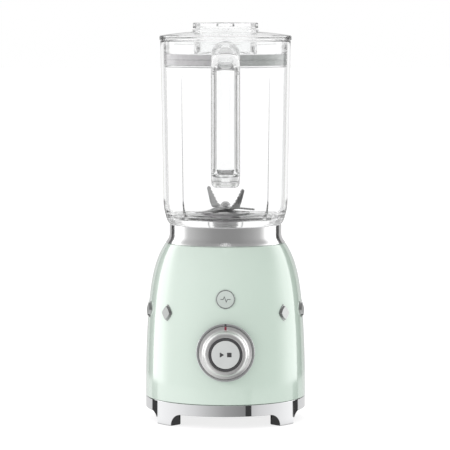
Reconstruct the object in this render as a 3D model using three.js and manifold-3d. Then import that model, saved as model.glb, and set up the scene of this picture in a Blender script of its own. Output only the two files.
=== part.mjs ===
// A countertop blender: a clear jug with a lid and a blade unit, standing on a round motor base with a speed knob.
// Millimetres, +Z up, the front and its knob towards -Y. The origin is the middle of the footprint, on the table.
import * as THREE from "three";
import { mergeVertices } from "three/addons/utils/BufferGeometryUtils.js";
import Module from "manifold-3d";

const wasm = await Module();
wasm.setup();

// ---------------------------------------------------------------- driving dimensions

const gap = 0.3; // left between fixed pieces that touch
const play = 0.5; // left round pieces that move
const roundSides = 32;
const knobSides = 24;
const smallSides = 16;

const foot = {
  angle: 50, // from the front or the back, round the vertical axis
  lift: 12.5, // free height under the skirt
  depth: 13, // radial
  neckHalfWidth: 23, // where the foot runs into the skirt
  soleHalfWidth: 10.5,
  padLength: 13,
  padWidth: 5,
  padHeight: 3.2,
  padProud: 0.9,
};
const skirt = { height: 11.2, wall: 2.8, curl: 1, ledge: 4.4, lip: 2.6 };
const shell = {
  radius: 80.2,
  height: 153.6,
  wall: 2.6,
  topLip: 2.4,
  gentleShare: 0.48, // share of the taper that is spread along the whole height
  gentlePower: 2.2,
  sharpPower: 8,
  bossRadius: 4.6,
  bossRing: 60,
  bossHeight: 17,
};
const plate = { thickness: 2.5, ventCount: 8, ventRing: 30, ventLength: 20, ventWidth: 5 };
const screw = { count: 3, shankRadius: 1.5, headRadius: 3, headHeight: 1.6, length: 16 };
const inlet = { ring: 46, bushRadius: 6.2, boreRadius: 3.8, flangeRadius: 8.4, flangeHeight: 1.7 };
const neck = { radius: 56, wall: 1.5, height: 18.4, flare: 3.6, flareHeight: 8, spigot: 13.8 };
const seat = { depth: 9.7, flange: 4, floorHeight: 3, hubRadius: 22, hubWall: 2.4, ledgeWidth: 12 };
const seal = { width: 8, height: 2 };
const jug = {
  shoulderInset: 0.3, // from the collar's outer side
  curveReach: 6.5, // outwards, from the shoulder to the waist
  taper: 2.9, // outwards, from the waist to the rim
  height: 183, // from the collar to the rim
  curveHeight: 23,
  wall: 3,
  floorHeight: 6.4, // above the shoulder
  floorThickness: 4,
  floorCurve: 11,
  plugDepth: 24.3,
  plugWall: 3.2,
  ribAngle: 47,
  ribWidth: 7,
  ribHeight: 3,
  ribTop: 27.6, // below the rim
};
const handle = {
  reach: 117, // from the axis of the jug to the front of the grip
  width: 28.2,
  gripDepth: 20,
  top: 0.4, // below the rim
  bottom: 141, // below the rim
  bridge: 17,
  footBridge: 14,
  archRadius: 11.5,
  heelRadius: 6,
  wall: 3.6,
};
const lid = {
  edge: 4.7,
  rise: 3.5,
  overhang: 0.8,
  neckRadius: 33.2,
  neckRise: 2.3,
  boreRadius: 29,
  tube: 20,
  wall: 2.4,
  plug: 26.4,
  groove: 11.6,
};
const cap = { flangeRadius: 32.6, flangeHeight: 5.4, bodyDepth: 20, wall: 2.3, top: 3.4, notch: 8 };
const blade = {
  thickness: 1.5,
  studRadius: 2.6,
  width: 11.6,
  tipWidth: 4.2,
  bendRadius: 15.5,
  raisedLength: 25,
  raisedAngle: 58,
  raisedTurn: -52, // about the shaft, from +X
  flatBendRadius: 11,
  flatLength: 26.5,
  flatAngle: -7,
  flatTurn: 38,
  teeth: 6,
  toothDepth: 1.1,
};
const holder = { flangeRadius: 25, barrelRadius: 13, barrelLength: 20.6, flangeHeight: 1.8, bossRadius: 9, rise: 4.4 };
const bush = { outerRadius: 8, height: 14 };
const nut = { radius: 23, height: 8.6, lobes: 6 };
const shaftRadius = 4;
const coupling = { radius: 17, dogRadius: 11.5, dogLobe: 1.8, lobes: 6, discHeight: 4.4, socketWall: 2 };
const motor = {
  bracketDrop: 14, // from the seat down to the upper bracket
  halfWidth: 42,
  halfDepth: 32,
  boreRadius: 21.2,
  windowIn: 22.5,
  windowOut: 30.5,
  windowNear: 15.4,
  windowFar: 25,
  coilOverhang: 8,
  bearingRadius: 11,
  bearingHeight: 7,
  bracketHeight: 3,
  bracketInset: 2.4, // from the control board to the upper bracket
  lowerRadius: 68,
  hubRadius: 14.2,
  commutatorRadius: 11,
  commutatorHeight: 14,
  fanRadius: 33,
  fanHeight: 9,
  fanBlades: 9,
  brushSide: 8,
  brushLength: 20,
};
const knob = {
  height: 76.4, // above the table
  bezelWall: 2.1,
  bezelProud: 5,
  baseRadius: 26,
  faceRadius: 22.4,
  shoulder: 10.8, // proud of the shell
  proud: 20.4,
  sleeveRadius: 19.3,
  pointerWidth: 1.5,
};
const lightRing = { outerRadius: 16.2, wall: 2 };
const startButton = { face: 3, stemRadius: 4, proud: 20.9, travel: 2 };
const pulse = { rise: 52.3, radius: 8.5, rim: 0.8, proud: 1.2, body: 6, stemRadius: 3, travel: 1.5 };
const board = { reach: 58.4, thickness: 1.6, width: 56, rise: 2, drop: 6, startSwitch: 5, pulseSwitch: 3.5 };
const encoder = { radius: 26, depth: 8, grip: 3 };
const stud = { height: 112, width: 14.5, tall: 17, proud: 2.6, depth: 5, faceShare: 0.84, angles: [48, 76, 104, 132] };

// ---------------------------------------------------------------- sizes and heights that follow from them

const shellTopRadius = neck.radius + neck.flare + 0.1;
const shoulderRadius = neck.radius - jug.shoulderInset;
const waistRadius = shoulderRadius + jug.curveReach;
const rimRadius = waistRadius + jug.taper;
const bezelRadius = knob.baseRadius + play + knob.bezelWall;

const skirtTop = foot.lift + skirt.height;
const shellBottom = skirtTop + gap;
const shellTop = shellBottom + shell.height;
const collarBottom = shellTop + gap;
const collarTop = collarBottom + neck.height;
const shoulder = collarTop + gap; // where the jug rests over the collar
const rim = shoulder + jug.height;
const jugFloor = shoulder + jug.floorHeight;
const jugBottom = shoulder - jug.plugDepth;
const plugRadius = neck.radius - neck.wall - 1;
const seatTop = jugBottom - gap - seal.height - gap;
const seatBottom = seatTop - seat.depth;
const lidBottom = rim + gap;
const lidEdge = lidBottom + lid.edge;
const lidTop = lidEdge + lid.rise;
const neckTop = lidTop + lid.neckRise;
const capFlange = neckTop + gap;
const holderFlange = jugFloor + 1 + 2 * gap;
const holderBottom = holderFlange - holder.barrelLength;
const holderTop = holderFlange + holder.rise;
const lowerBladeBottom = holderTop + gap;
const upperBladeBottom = lowerBladeBottom + blade.thickness + gap;
const domeNutBottom = upperBladeBottom + blade.thickness + gap;
const drivenTop = holderBottom - play;
const drivenBottom = jugBottom + 1;
const driveBottom = seatBottom + seat.floorHeight + 2.5;
const dogTop = drivenTop - coupling.socketWall - play;
const plateBottom = foot.lift + gap;
const plateTop = plateBottom + plate.thickness;
const bossBottom = plateTop + gap;
const lowerBracket = shellBottom + shell.bossHeight + gap;
const upperBracket = seatBottom - motor.bracketDrop;
const fanBottom = lowerBracket + motor.bracketHeight + 4;
const stackBottom = fanBottom + motor.fanHeight + motor.coilOverhang + 2;
const stackTop = upperBracket - motor.bearingHeight - motor.commutatorHeight - motor.coilOverhang - 5;
const commutatorBottom = stackTop + motor.coilOverhang + 2;
const pulseHeight = knob.height + pulse.rise;
const boardBottom = lowerBracket + motor.bracketHeight + board.rise;
const boardTop = seatBottom - board.drop;
const handleTop = rim - handle.top;
const handleBottom = rim - handle.bottom;

const radians = THREE.MathUtils.degToRad;

// ---------------------------------------------------------------- materials

const finish = (color, roughness, metalness = 0, opacity = 1) =>
  new THREE.MeshStandardMaterial({ color, roughness, metalness, opacity, transparent: opacity < 1 });
const paint = finish(0xc6dfcf, 0.2);
const chrome = finish(0xd9dbdd, 0.08, 1);
const brushedSteel = finish(0xb4b6b8, 0.32, 1);
const laminations = finish(0x70747a, 0.5, 1);
const copper = finish(0xb4622d, 0.35, 1);
const brass = finish(0xc9a55a, 0.3, 1);
const clear = finish(0xf4f6f7, 0.04, 0, 0.3);
const silicone = finish(0x9fa3a5, 0.6);
const rubber = finish(0x2b2c2e, 0.8);
const blackPlastic = finish(0x26272a, 0.45);
const greyPlastic = finish(0xc5c7c8, 0.4);
const redPlastic = finish(0xb01733, 0.35);
const boardGreen = finish(0x1e5a3a, 0.5);

// ---------------------------------------------------------------- geometry helpers

/** A closed geometry as a solid that can be cut and joined. */
function solidOf(geometry) {
  const bare = new THREE.BufferGeometry().setAttribute("position", geometry.getAttribute("position"));
  const merged = mergeVertices(bare.setIndex(geometry.index), 1e-4);
  return new wasm.Manifold(
    new wasm.Mesh({
      numProp: 3,
      vertProperties: merged.attributes.position.array,
      triVerts: new Uint32Array(merged.index.array),
    }),
  );
}

/** A solid's surface as a geometry. */
function geometryOf(solid) {
  const { vertProperties, triVerts } = solid.getMesh();
  const geometry = new THREE.BufferGeometry()
    .setAttribute("position", new THREE.BufferAttribute(vertProperties, 3))
    .setIndex(new THREE.BufferAttribute(triVerts, 1));
  geometry.computeVertexNormals();
  return geometry;
}

const cut = (body, ...tools) =>
  geometryOf(tools.reduce((left, tool) => left.subtract(solidOf(tool)), solidOf(body)));
const join = (body, ...others) =>
  geometryOf(others.reduce((sum, other) => sum.add(solidOf(other)), solidOf(body)));
const common = (a, b) => geometryOf(solidOf(a).intersect(solidOf(b)));

/** Turns a closed outline of [radius, height] points round the Z axis. */
function revolve(outline, sides = roundSides) {
  const points = outline.map(([radius, height]) => new THREE.Vector2(radius, height));
  if (points[0].x > 0 || points.at(-1).x > 0) points.push(points[0].clone());
  if (THREE.ShapeUtils.area(points) < 0) points.reverse();
  return new THREE.LatheGeometry(points, sides).rotateX(Math.PI / 2);
}

/** A ring with a rectangular section; an inner radius of 0 gives a disc. */
function ring(innerRadius, outerRadius, bottom, top, sides = roundSides) {
  return revolve([[innerRadius, bottom], [outerRadius, bottom], [outerRadius, top], [innerRadius, top]], sides);
}

/** An upright rod at a place in plan. */
const post = (x, y, radius, bottom, top, sides = smallSides) =>
  ring(0, radius, bottom, top, sides).translate(x, y, 0);

/** A box between two corners. */
function block(low, high) {
  const [width, depth, height] = high.map((value, i) => value - low[i]);
  return new THREE.BoxGeometry(width, depth, height).translate(
    (low[0] + high[0]) / 2,
    (low[1] + high[1]) / 2,
    (low[2] + high[2]) / 2,
  );
}

/** Extrudes a flat shape along +Z between two heights. */
const extrude = (shape, bottom, top, curveSegments = 6) =>
  new THREE.ExtrudeGeometry(shape, { depth: top - bottom, bevelEnabled: false, curveSegments }).translate(0, 0, bottom);

/** Points of a round stretch of an outline about a centre, between two angles in degrees. */
function arc(centreX, centreY, radius, from, to, steps = 4) {
  return new THREE.Path()
    .absarc(centreX, centreY, radius, radians(from), radians(to), to < from)
    .getPoints(steps)
    .map(({ x, y }) => [x, y]);
}

/** Points of a stretch that bends from one point towards another, past a corner. */
function bend(from, corner, to, steps = 4) {
  const points = [from, corner, to].map(([x, y]) => new THREE.Vector2(x, y));
  return new THREE.QuadraticBezierCurve(...points).getPoints(steps).map(({ x, y }) => [x, y]);
}

const shapeOf = (outline) => new THREE.Shape(outline.map(([x, y]) => new THREE.Vector2(x, y)));

/** A rectangle with round corners, about its centre. */
function roundedRectangle(width, height, radius, steps = 3) {
  const [x, y] = [width / 2 - radius, height / 2 - radius];
  return [
    ...arc(x, -y, radius, -90, 0, steps),
    ...arc(x, y, radius, 0, 90, steps),
    ...arc(-x, y, radius, 90, 180, steps),
    ...arc(-x, -y, radius, 180, 270, steps),
  ];
}

/** A round outline with soft lobes. */
function lobedOutline(radius, lobe, lobes, steps = 6) {
  return Array.from({ length: lobes * steps }, (_, i) => {
    const angle = (i / (lobes * steps)) * 2 * Math.PI;
    const reach = radius + lobe * Math.cos(lobes * angle);
    return [reach * Math.cos(angle), reach * Math.sin(angle)];
  });
}

/** A place in plan at a distance from the axis, at an angle in degrees from the front. */
const around = (distance, angle) => [distance * Math.sin(radians(angle)), -distance * Math.cos(radians(angle))];

const meshes = (group, pieces) => {
  for (const [name, geometry, material] of pieces) {
    const mesh = new THREE.Mesh(geometry, material);
    mesh.name = name;
    group.add(mesh);
  }
  return group;
};

// ---------------------------------------------------------------- shared surfaces

/** Radius of the painted shell's outer surface at a height above the table. */
function shellRadius(height) {
  const share = THREE.MathUtils.clamp((height - shellBottom) / shell.height, 0, 1);
  const taper =
    shell.gentleShare * share ** shell.gentlePower + (1 - shell.gentleShare) * share ** shell.sharpPower;
  return shell.radius - (shell.radius - shellTopRadius) * taper;
}

/** Shares of the shell's height where its outer side is drawn: closer together where it bends. */
const shellShares = [0, 0.28, 0.5, 0.66, 0.78, 0.87, 0.94, 1];

/** Points up the shell's outer surface, moved outwards by an offset. */
const shellSide = (offset, shares) =>
  shares.map((share) => {
    const height = shellBottom + share * shell.height;
    return [shellRadius(height) + offset, height];
  });

/** The space that the shell and its offset fill, to trim what seats on it. */
const shellBlank = (offset) =>
  revolve(
    [[0, shellBottom], ...shellSide(offset, shellShares), [0, shellTop]],
  );

/** Outer side of the jug from its shoulder to its rim, moved outwards by an offset. */
const jugSide = (offset) => [
  [shoulderRadius + offset, shoulder],
  ...bend(
    [shoulderRadius + 1.9 + offset, shoulder + 1.6],
    [waistRadius - 0.3 + offset, shoulder + 0.5 * jug.curveHeight],
    [waistRadius + offset, shoulder + jug.curveHeight],
    3,
  ),
  [rimRadius + offset, rim],
];

/** Radius of the jug's outer wall above its curve. */
const jugRadius = (height) =>
  THREE.MathUtils.mapLinear(height, shoulder + jug.curveHeight, rim, waistRadius, rimRadius);

// ---------------------------------------------------------------- motor base: casing

/** One foot's outline across its radius: soft shoulders into the skirt, and a flat sole. */
function footOutline() {
  const side = bend(
    [foot.soleHalfWidth, foot.padProud],
    [foot.soleHalfWidth + 1.5, foot.lift],
    [foot.neckHalfWidth, foot.lift],
    3,
  );
  const top = foot.lift + skirt.lip;
  return [...side, [foot.neckHalfWidth, top], [-foot.neckHalfWidth, top], ...side.map(([x, y]) => [-x, y]).reverse()];
}

/** Stands an outline of [across, height] points up at an angle round the axis, and gives it a radial depth. */
const standing = (outline, angle, near, far) =>
  extrude(shapeOf(outline), near, far)
    .rotateX(Math.PI / 2)
    .rotateZ(radians(angle));

const footAngles = [foot.angle, 180 - foot.angle, 180 + foot.angle, 360 - foot.angle];
const soleRing = shell.radius - 5.4 - foot.padWidth / 2 - 1.5;

/** A rubber pad's upright outline in plan, grown by a margin, at its foot. */
const padBlank = (angle, margin, bottom, top) =>
  extrude(
    shapeOf(roundedRectangle(foot.padLength + 2 * margin, foot.padWidth + 2 * margin, foot.padWidth / 2 - 0.1)),
    bottom,
    top,
  )
    .translate(0, -soleRing, 0)
    .rotateZ(radians(angle));

function baseRing() {
  const outer = shell.radius - 0.2;
  const curlCentre = [outer - skirt.curl, foot.lift + skirt.curl];
  const ledge = outer - skirt.ledge;
  const lipTop = foot.lift + skirt.lip;
  const band = revolve([
    [ledge, foot.lift],
    ...arc(...curlCentre, skirt.curl, -90, 0, 3),
    [outer, skirtTop],
    [outer - skirt.wall, skirtTop],
    [outer - skirt.wall - 1, lipTop],
    [ledge, lipTop],
  ]);
  const footBand = revolve([
    [outer - 1 - foot.depth, foot.padProud],
    [outer - 1.6, foot.padProud],
    ...bend([outer - 1.2, foot.padProud + 0.1], [outer - 0.3, foot.padProud + 0.3], [outer - 0.2, foot.padProud + 1.4], 2),
    [outer - 0.2, lipTop],
    [ledge, lipTop],
    [ledge, foot.lift],
    [outer - 1 - foot.depth, foot.lift],
  ]);
  const feet = footAngles.map((angle) =>
    common(footBand, standing(footOutline(), angle, outer - 20, outer + 5)),
  );
  const sockets = footAngles.map((angle) => padBlank(angle, gap, 0, foot.padHeight + gap));
  return cut(join(band, ...feet), ...sockets);
}

const screwAngles = Array.from({ length: screw.count }, (_, i) => 60 + (i * 360) / screw.count);

function bodyShell() {
  const inside = shellSide(-shell.wall, [0.94, 0.8, 0.55, 0]);
  const lipRadius = neck.radius + play;
  const wall = revolve([
    ...shellSide(0, shellShares),
    [lipRadius, shellTop],
    [lipRadius, shellTop - shell.topLip],
    ...inside,
  ]);
  const bosses = screwAngles.flatMap((angle) => {
    const top = lowerBracket - gap;
    const web = block(
      [-1.2, -shell.radius + 1.2, shellBottom + 0.6],
      [1.2, -shell.bossRing, top],
    ).rotateZ(radians(angle));
    return [post(...around(shell.bossRing, angle), shell.bossRadius, bossBottom, top, 8), web];
  });
  const holes = screwAngles.map((angle) =>
    post(...around(shell.bossRing, angle), screw.shankRadius + gap, bossBottom - 1, bossBottom + screw.length, 8),
  );
  const knobHole = outwards(post(0, 0, knob.sleeveRadius + 1.1, -20, 10, knobSides), knobPlace());
  const pulseHole = outwards(post(0, 0, pulse.radius + pulse.rim + gap, -12, 10), pulsePlace());
  return cut(join(wall, ...bosses), ...holes, knobHole, pulseHole);
}

function neckCollar() {
  const inner = neck.radius - neck.wall;
  return revolve([
    [inner, collarBottom - neck.spigot],
    [neck.radius, collarBottom - neck.spigot],
    [neck.radius, collarBottom],
    [neck.radius + neck.flare, collarBottom],
    ...bend(
      [neck.radius + neck.flare, collarBottom + 0.5],
      [neck.radius + 0.5, collarBottom + 0.45 * neck.flareHeight],
      [neck.radius, collarBottom + neck.flareHeight],
      3,
    ),
    [neck.radius, collarTop],
    [inner, collarTop],
  ]);
}

function jugSeat() {
  const outer = neck.radius - neck.wall - gap;
  const flangeTop = collarBottom - neck.spigot - gap;
  const ledge = outer - seat.ledgeWidth;
  const hubInner = seat.hubRadius - seat.hubWall;
  return revolve([
    [hubInner, seatBottom],
    [neck.radius + seat.flange, seatBottom],
    [neck.radius + seat.flange, flangeTop],
    [outer, flangeTop],
    [outer, seatTop],
    [ledge, seatTop],
    [ledge, seatBottom + seat.floorHeight],
    [seat.hubRadius, seatBottom + seat.floorHeight],
    [seat.hubRadius, seatTop - 1],
    [hubInner, seatTop - 1],
  ]);
}

const seatGasket = () => {
  const outer = neck.radius - neck.wall - gap - 1;
  return ring(outer - seal.width, outer, seatTop + gap, jugBottom - gap);
};

function basePlate() {
  const reach = shell.radius - 0.2 - skirt.ledge - play;
  const disc = shapeOf(arc(0, 0, reach, 0, 360, roundSides).slice(1));
  for (let i = 0; i < plate.ventCount; i += 1) {
    const angle = (i / plate.ventCount) * 2 * Math.PI;
    const outline = roundedRectangle(plate.ventLength, plate.ventWidth, plate.ventWidth / 2 - 0.05, 1).map(([x, y]) =>
      new THREE.Vector2(x + plate.ventRing, y).rotateAround(new THREE.Vector2(), angle),
    );
    disc.holes.push(new THREE.Path(outline));
  }
  const screwHoles = screwAngles.map((angle) =>
    post(...around(shell.bossRing, angle), screw.shankRadius + gap, plateBottom - 1, plateTop + 1, 8),
  );
  const headHoles = screwAngles.map((angle) =>
    post(...around(shell.bossRing, angle), screw.headRadius + gap, plateBottom - 1, plateBottom + screw.headHeight, 8),
  );
  const inletHole = post(0, inlet.ring, inlet.bushRadius + gap, plateBottom - 1, plateTop + 1);
  return cut(extrude(disc, plateBottom, plateTop), ...screwHoles, ...headHoles, inletHole);
}

function baseScrew(angle) {
  const headTop = plateBottom + screw.headHeight - gap;
  return revolve(
    [
      [0, plateBottom],
      [screw.headRadius, plateBottom],
      [screw.headRadius, headTop],
      [screw.shankRadius, headTop],
      [screw.shankRadius, bossBottom + screw.length - 2],
      [0, bossBottom + screw.length - 1],
    ],
    8,
  ).translate(...around(shell.bossRing, angle), 0);
}

const cordInlet = () =>
  revolve(
    [
      [inlet.boreRadius, plateBottom - gap - inlet.flangeHeight],
      [inlet.flangeRadius, plateBottom - gap - inlet.flangeHeight],
      [inlet.flangeRadius, plateBottom - gap],
      [inlet.bushRadius, plateBottom - gap],
      [inlet.bushRadius, plateTop + 1.5],
      [inlet.boreRadius, plateTop + 1.5],
    ],
    smallSides,
  ).translate(0, inlet.ring, 0);

/** A plain lozenge stud with bevelled sides, seated on the shell's side. */
function sideStud(angle) {
  const lozenge = new THREE.CylinderGeometry(stud.faceShare, 1, stud.depth, 4)
    .rotateX(Math.PI / 2)
    .scale(stud.width / 2, stud.tall / 2, 1)
    .translate(0, 0, stud.proud - stud.depth / 2)
    .rotateX(Math.PI / 2)
    .translate(0, -shellRadius(stud.height), stud.height)
    .rotateZ(radians(angle));
  return cut(lozenge, shellBlank(gap));
}

// ---------------------------------------------------------------- controls on the front

/** Where a control stands: on the shell's surface, +Z outwards. */
function controlPlace(height, tilt) {
  const place = new THREE.Group();
  place.position.set(0, -shellRadius(height), height);
  place.rotation.x = Math.PI / 2 - tilt;
  place.updateMatrix();
  return place;
}
const knobPlace = () => controlPlace(knob.height, 0);

/** The pulse button leans back to stand square on the shell. */
const pulsePlace = () => {
  const slope = (shellRadius(pulseHeight - 1) - shellRadius(pulseHeight + 1)) / 2;
  return controlPlace(pulseHeight, Math.atan(slope));
};
const outwards = (geometry, place) => geometry.clone().applyMatrix4(place.matrix);
const inwards = (geometry, place) => geometry.clone().applyMatrix4(place.matrix.clone().invert());

function knobBezel() {
  const blank = ring(bezelRadius - knob.bezelWall, bezelRadius, -12, knob.bezelProud, knobSides);
  return cut(blank, inwards(shellBlank(gap), knobPlace()));
}

/** How far the board stands behind the shell's surface at the knob. */
const boardDepth = () => shellRadius(knob.height) - board.reach - board.thickness;

function knobOutline() {
  const inner = lightRing.outerRadius + gap;
  const back = gap - boardDepth() + encoder.depth - encoder.grip;
  const bulge = shellRadius(knob.height - knob.baseRadius) - shellRadius(knob.height);
  const flange = bulge + 0.15;
  return [
    [inner, back],
    [knob.sleeveRadius, back],
    [knob.sleeveRadius, flange],
    [knob.baseRadius, flange],
    [knob.baseRadius, knob.bezelProud + 0.3],
    [knob.baseRadius - 0.6, knob.bezelProud + 1],
    [knob.faceRadius, knob.shoulder],
    ...bend(
      [knob.faceRadius - 0.1, knob.shoulder + 0.8],
      [knob.faceRadius - 0.5, knob.proud - 1.4],
      [inner + 0.9, knob.proud],
      3,
    ),
    [inner, knob.proud - 0.6],
  ];
}
const pointerBlank = (margin) =>
  block(
    [-knob.pointerWidth / 2 - margin, knob.faceRadius - 0.6 - margin, knob.bezelProud + 0.4 - margin],
    [knob.pointerWidth / 2 + margin, knob.baseRadius + 1, knob.shoulder + margin],
  );
const speedKnob = () => cut(revolve(knobOutline(), knobSides), pointerBlank(gap));
const knobPointer = () => common(revolve(knobOutline(), knobSides), pointerBlank(0));

const lightTube = () =>
  ring(lightRing.outerRadius - lightRing.wall, lightRing.outerRadius, gap - boardDepth(), knob.proud - 0.2, knobSides);

function startButtonBody() {
  const radius = lightRing.outerRadius - lightRing.wall - 0.4;
  const back = startButton.proud - startButton.face;
  const stemEnd = board.startSwitch + startButton.travel + 0.6 - boardDepth();
  return revolve(
    [
      [0, stemEnd],
      [startButton.stemRadius, stemEnd],
      [startButton.stemRadius, back],
      [radius, back],
      [radius, startButton.proud - 0.6],
      [radius - 0.6, startButton.proud],
      [0, startButton.proud],
    ],
    knobSides,
  );
}

const pulseBezel = () =>
  ring(pulse.radius + 0.2, pulse.radius + pulse.rim, -pulse.body, pulse.proud - 0.3, smallSides);
const pulseStemEnd = () =>
  board.reach + board.thickness + board.pulseSwitch + pulse.travel + 1.8 - shellRadius(pulseHeight);
const pulseButtonBody = () =>
  revolve(
    [
      [0, pulseStemEnd()],
      [pulse.stemRadius, pulseStemEnd()],
      [pulse.stemRadius, -2.4],
      [pulse.radius - 0.2, -2.4],
      [pulse.radius - 0.2, pulse.proud - 0.5],
      [pulse.radius - 0.7, pulse.proud],
      [0, pulse.proud],
    ],
    smallSides,
  );

function controlBoard() {
  const near = -board.reach - board.thickness;
  const sheet = block([-board.width / 2, near, boardBottom], [board.width / 2, -board.reach, boardTop]);
  const startSwitch = block([-5, near - board.startSwitch, knob.height - 5], [5, near + 0.5, knob.height + 5]);
  const pulseSwitch = block([-4, near - board.pulseSwitch, pulseHeight - 6], [4, near + 0.5, pulseHeight + 2]);
  const powerParts = block([-22, -board.reach - 0.5, boardBottom + 3], [-8, -board.reach + 6, boardBottom + 22]);
  return join(sheet, startSwitch, pulseSwitch, powerParts);
}

const selectorEncoder = () => {
  const back = gap - boardDepth();
  return ring(knob.sleeveRadius + gap, encoder.radius, back, back + encoder.depth, knobSides);
};

// ---------------------------------------------------------------- motor

function stator() {
  const outline = shapeOf(roundedRectangle(2 * motor.halfWidth, 2 * motor.halfDepth, 8));
  outline.holes.push(new THREE.Path().absarc(0, 0, motor.boreRadius, 0, 2 * Math.PI));
  const windows = [-1, 1].flatMap((x) =>
    [-1, 1].map((y) => {
      const [nearX, farX] = [motor.windowIn * x, motor.windowOut * x].sort((a, b) => a - b);
      const [nearY, farY] = [motor.windowNear * y, motor.windowFar * y].sort((a, b) => a - b);
      return block([nearX, nearY, stackBottom - 1], [farX, farY, stackTop + 1]);
    }),
  );
  return cut(extrude(outline, stackBottom, stackTop, 12), ...windows);
}

/** One field coil: an upright frame round a pole, on the left or the right. */
function fieldCoil(side) {
  const [near, far] = [motor.windowIn + gap, motor.windowOut - gap].map((x) => x * side).sort((a, b) => a - b);
  const reach = motor.windowFar - gap;
  const hole = motor.windowNear + gap;
  const [bottom, top] = [stackBottom - motor.coilOverhang, stackTop + motor.coilOverhang];
  const frame = block([near, -reach, bottom], [far, reach, top]);
  return cut(frame, block([near - 1, -hole, stackBottom - gap], [far + 1, hole, stackTop + gap]));
}

const columnPlaces = [[-36, -22], [36, -22], [36, 22], [-36, 22]];

function upperBracketBody() {
  const edge = board.reach - motor.bracketInset;
  const outline = [
    [shaftRadius + play, upperBracket - motor.bearingHeight - 1],
    [motor.hubRadius, upperBracket - motor.bearingHeight - 1],
    [motor.hubRadius, upperBracket],
    [edge, upperBracket],
    [edge, upperBracket + motor.bracketHeight],
    [motor.bearingRadius + gap, upperBracket + motor.bracketHeight],
    [motor.bearingRadius + gap, upperBracket - motor.bearingHeight + 1],
    [shaftRadius + play, upperBracket - motor.bearingHeight + 1],
  ];
  const columns = columnPlaces.flatMap(([x, y]) => [
    post(x, y, 3.5, stackTop + gap, upperBracket + 1, 8),
    post(x, y, 4, upperBracket + 1, seatBottom - gap, 8),
  ]);
  return join(revolve(outline, smallSides), ...columns);
}

function lowerBracketBody() {
  const outline = [
    [shaftRadius + play, lowerBracket - motor.bearingHeight],
    [motor.hubRadius, lowerBracket - motor.bearingHeight],
    [motor.hubRadius, lowerBracket],
    [motor.lowerRadius, lowerBracket],
    [motor.lowerRadius, lowerBracket + motor.bracketHeight],
    [motor.bearingRadius + gap, lowerBracket + motor.bracketHeight],
    [motor.bearingRadius + gap, lowerBracket - motor.bearingHeight + 2],
    [shaftRadius + play, lowerBracket - motor.bearingHeight + 2],
  ];
  const columns = columnPlaces.map(([x, y]) => post(x, y, 3.5, lowerBracket + 1, stackBottom - gap, 8));
  return join(revolve(outline, smallSides), ...columns);
}

const bearing = (bottom) =>
  ring(shaftRadius + gap, motor.bearingRadius, bottom, bottom + motor.bearingHeight, smallSides);

/** A brush holder's box beside the commutator, with a stalk up to the bracket. */
function brushHolder(side) {
  const half = motor.brushSide / 2;
  const middle = commutatorBottom + motor.commutatorHeight / 2;
  const near = motor.commutatorRadius + play;
  const [low, high] = [near * side, (near + motor.brushLength) * side].sort((a, b) => a - b);
  const [stalkLow, stalkHigh] = [(near + 8) * side, (near + 14) * side].sort((a, b) => a - b);
  return join(
    block([-half, low, middle - half], [half, high, middle + half]),
    block([-half + 1, stalkLow, middle], [half - 1, stalkHigh, upperBracket - gap]),
  );
}

const motorShaft = () =>
  ring(0, shaftRadius, lowerBracket - motor.bearingHeight + 2 + gap, driveBottom + coupling.discHeight + 3, smallSides);

function rotorCore() {
  const radius = motor.boreRadius - 0.7;
  const slots = 12;
  const outline = Array.from({ length: slots }, (_, i) => {
    const pitch = 360 / slots;
    const start = i * pitch;
    return [
      ...arc(0, 0, radius, start, start + 0.78 * pitch, 2),
      ...arc(0, 0, radius - 7, start + 0.82 * pitch, start + 0.96 * pitch, 1),
    ];
  }).flat();
  const shape = shapeOf(outline);
  shape.holes.push(new THREE.Path().absarc(0, 0, shaftRadius + gap, 0, 2 * Math.PI));
  return extrude(shape, stackBottom + 1, stackTop - 1, 5);
}

const commutator = () =>
  ring(shaftRadius + gap, motor.commutatorRadius, commutatorBottom, commutatorBottom + motor.commutatorHeight, smallSides);

function coolingFan() {
  const hub = ring(shaftRadius + gap, 10, fanBottom, fanBottom + motor.fanHeight, smallSides);
  const disc = ring(9, motor.fanRadius, fanBottom, fanBottom + 1.5, smallSides);
  const vanes = Array.from({ length: motor.fanBlades }, (_, i) =>
    block([9, -0.8, fanBottom + 1], [motor.fanRadius - 1, 0.8, fanBottom + motor.fanHeight])
      .rotateZ((i / motor.fanBlades) * 2 * Math.PI),
  );
  return join(hub, disc, ...vanes);
}

function driveCoupling() {
  const disc = ring(0, coupling.radius, driveBottom, driveBottom + coupling.discHeight, smallSides);
  const dog = extrude(
    shapeOf(lobedOutline(coupling.dogRadius, coupling.dogLobe, coupling.lobes)),
    driveBottom + coupling.discHeight - 1,
    dogTop,
  );
  const bore = post(0, 0, shaftRadius + gap, driveBottom - 1, driveBottom + coupling.discHeight + 3 + gap);
  return cut(join(disc, dog), bore);
}

// ---------------------------------------------------------------- jug

/** The jug's inner side from its rim to the middle of its floor. */
function jugInside() {
  const wallFoot = jugFloor + jug.floorCurve;
  const wallRadius = waistRadius - jug.wall - 0.9;
  return [
    [rimRadius - jug.wall, rim],
    [waistRadius - jug.wall, shoulder + jug.curveHeight],
    ...bend([wallRadius, wallFoot], [wallRadius - 1.5, jugFloor], [wallRadius - 1.5 - jug.floorCurve, jugFloor], 3),
  ];
}

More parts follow.
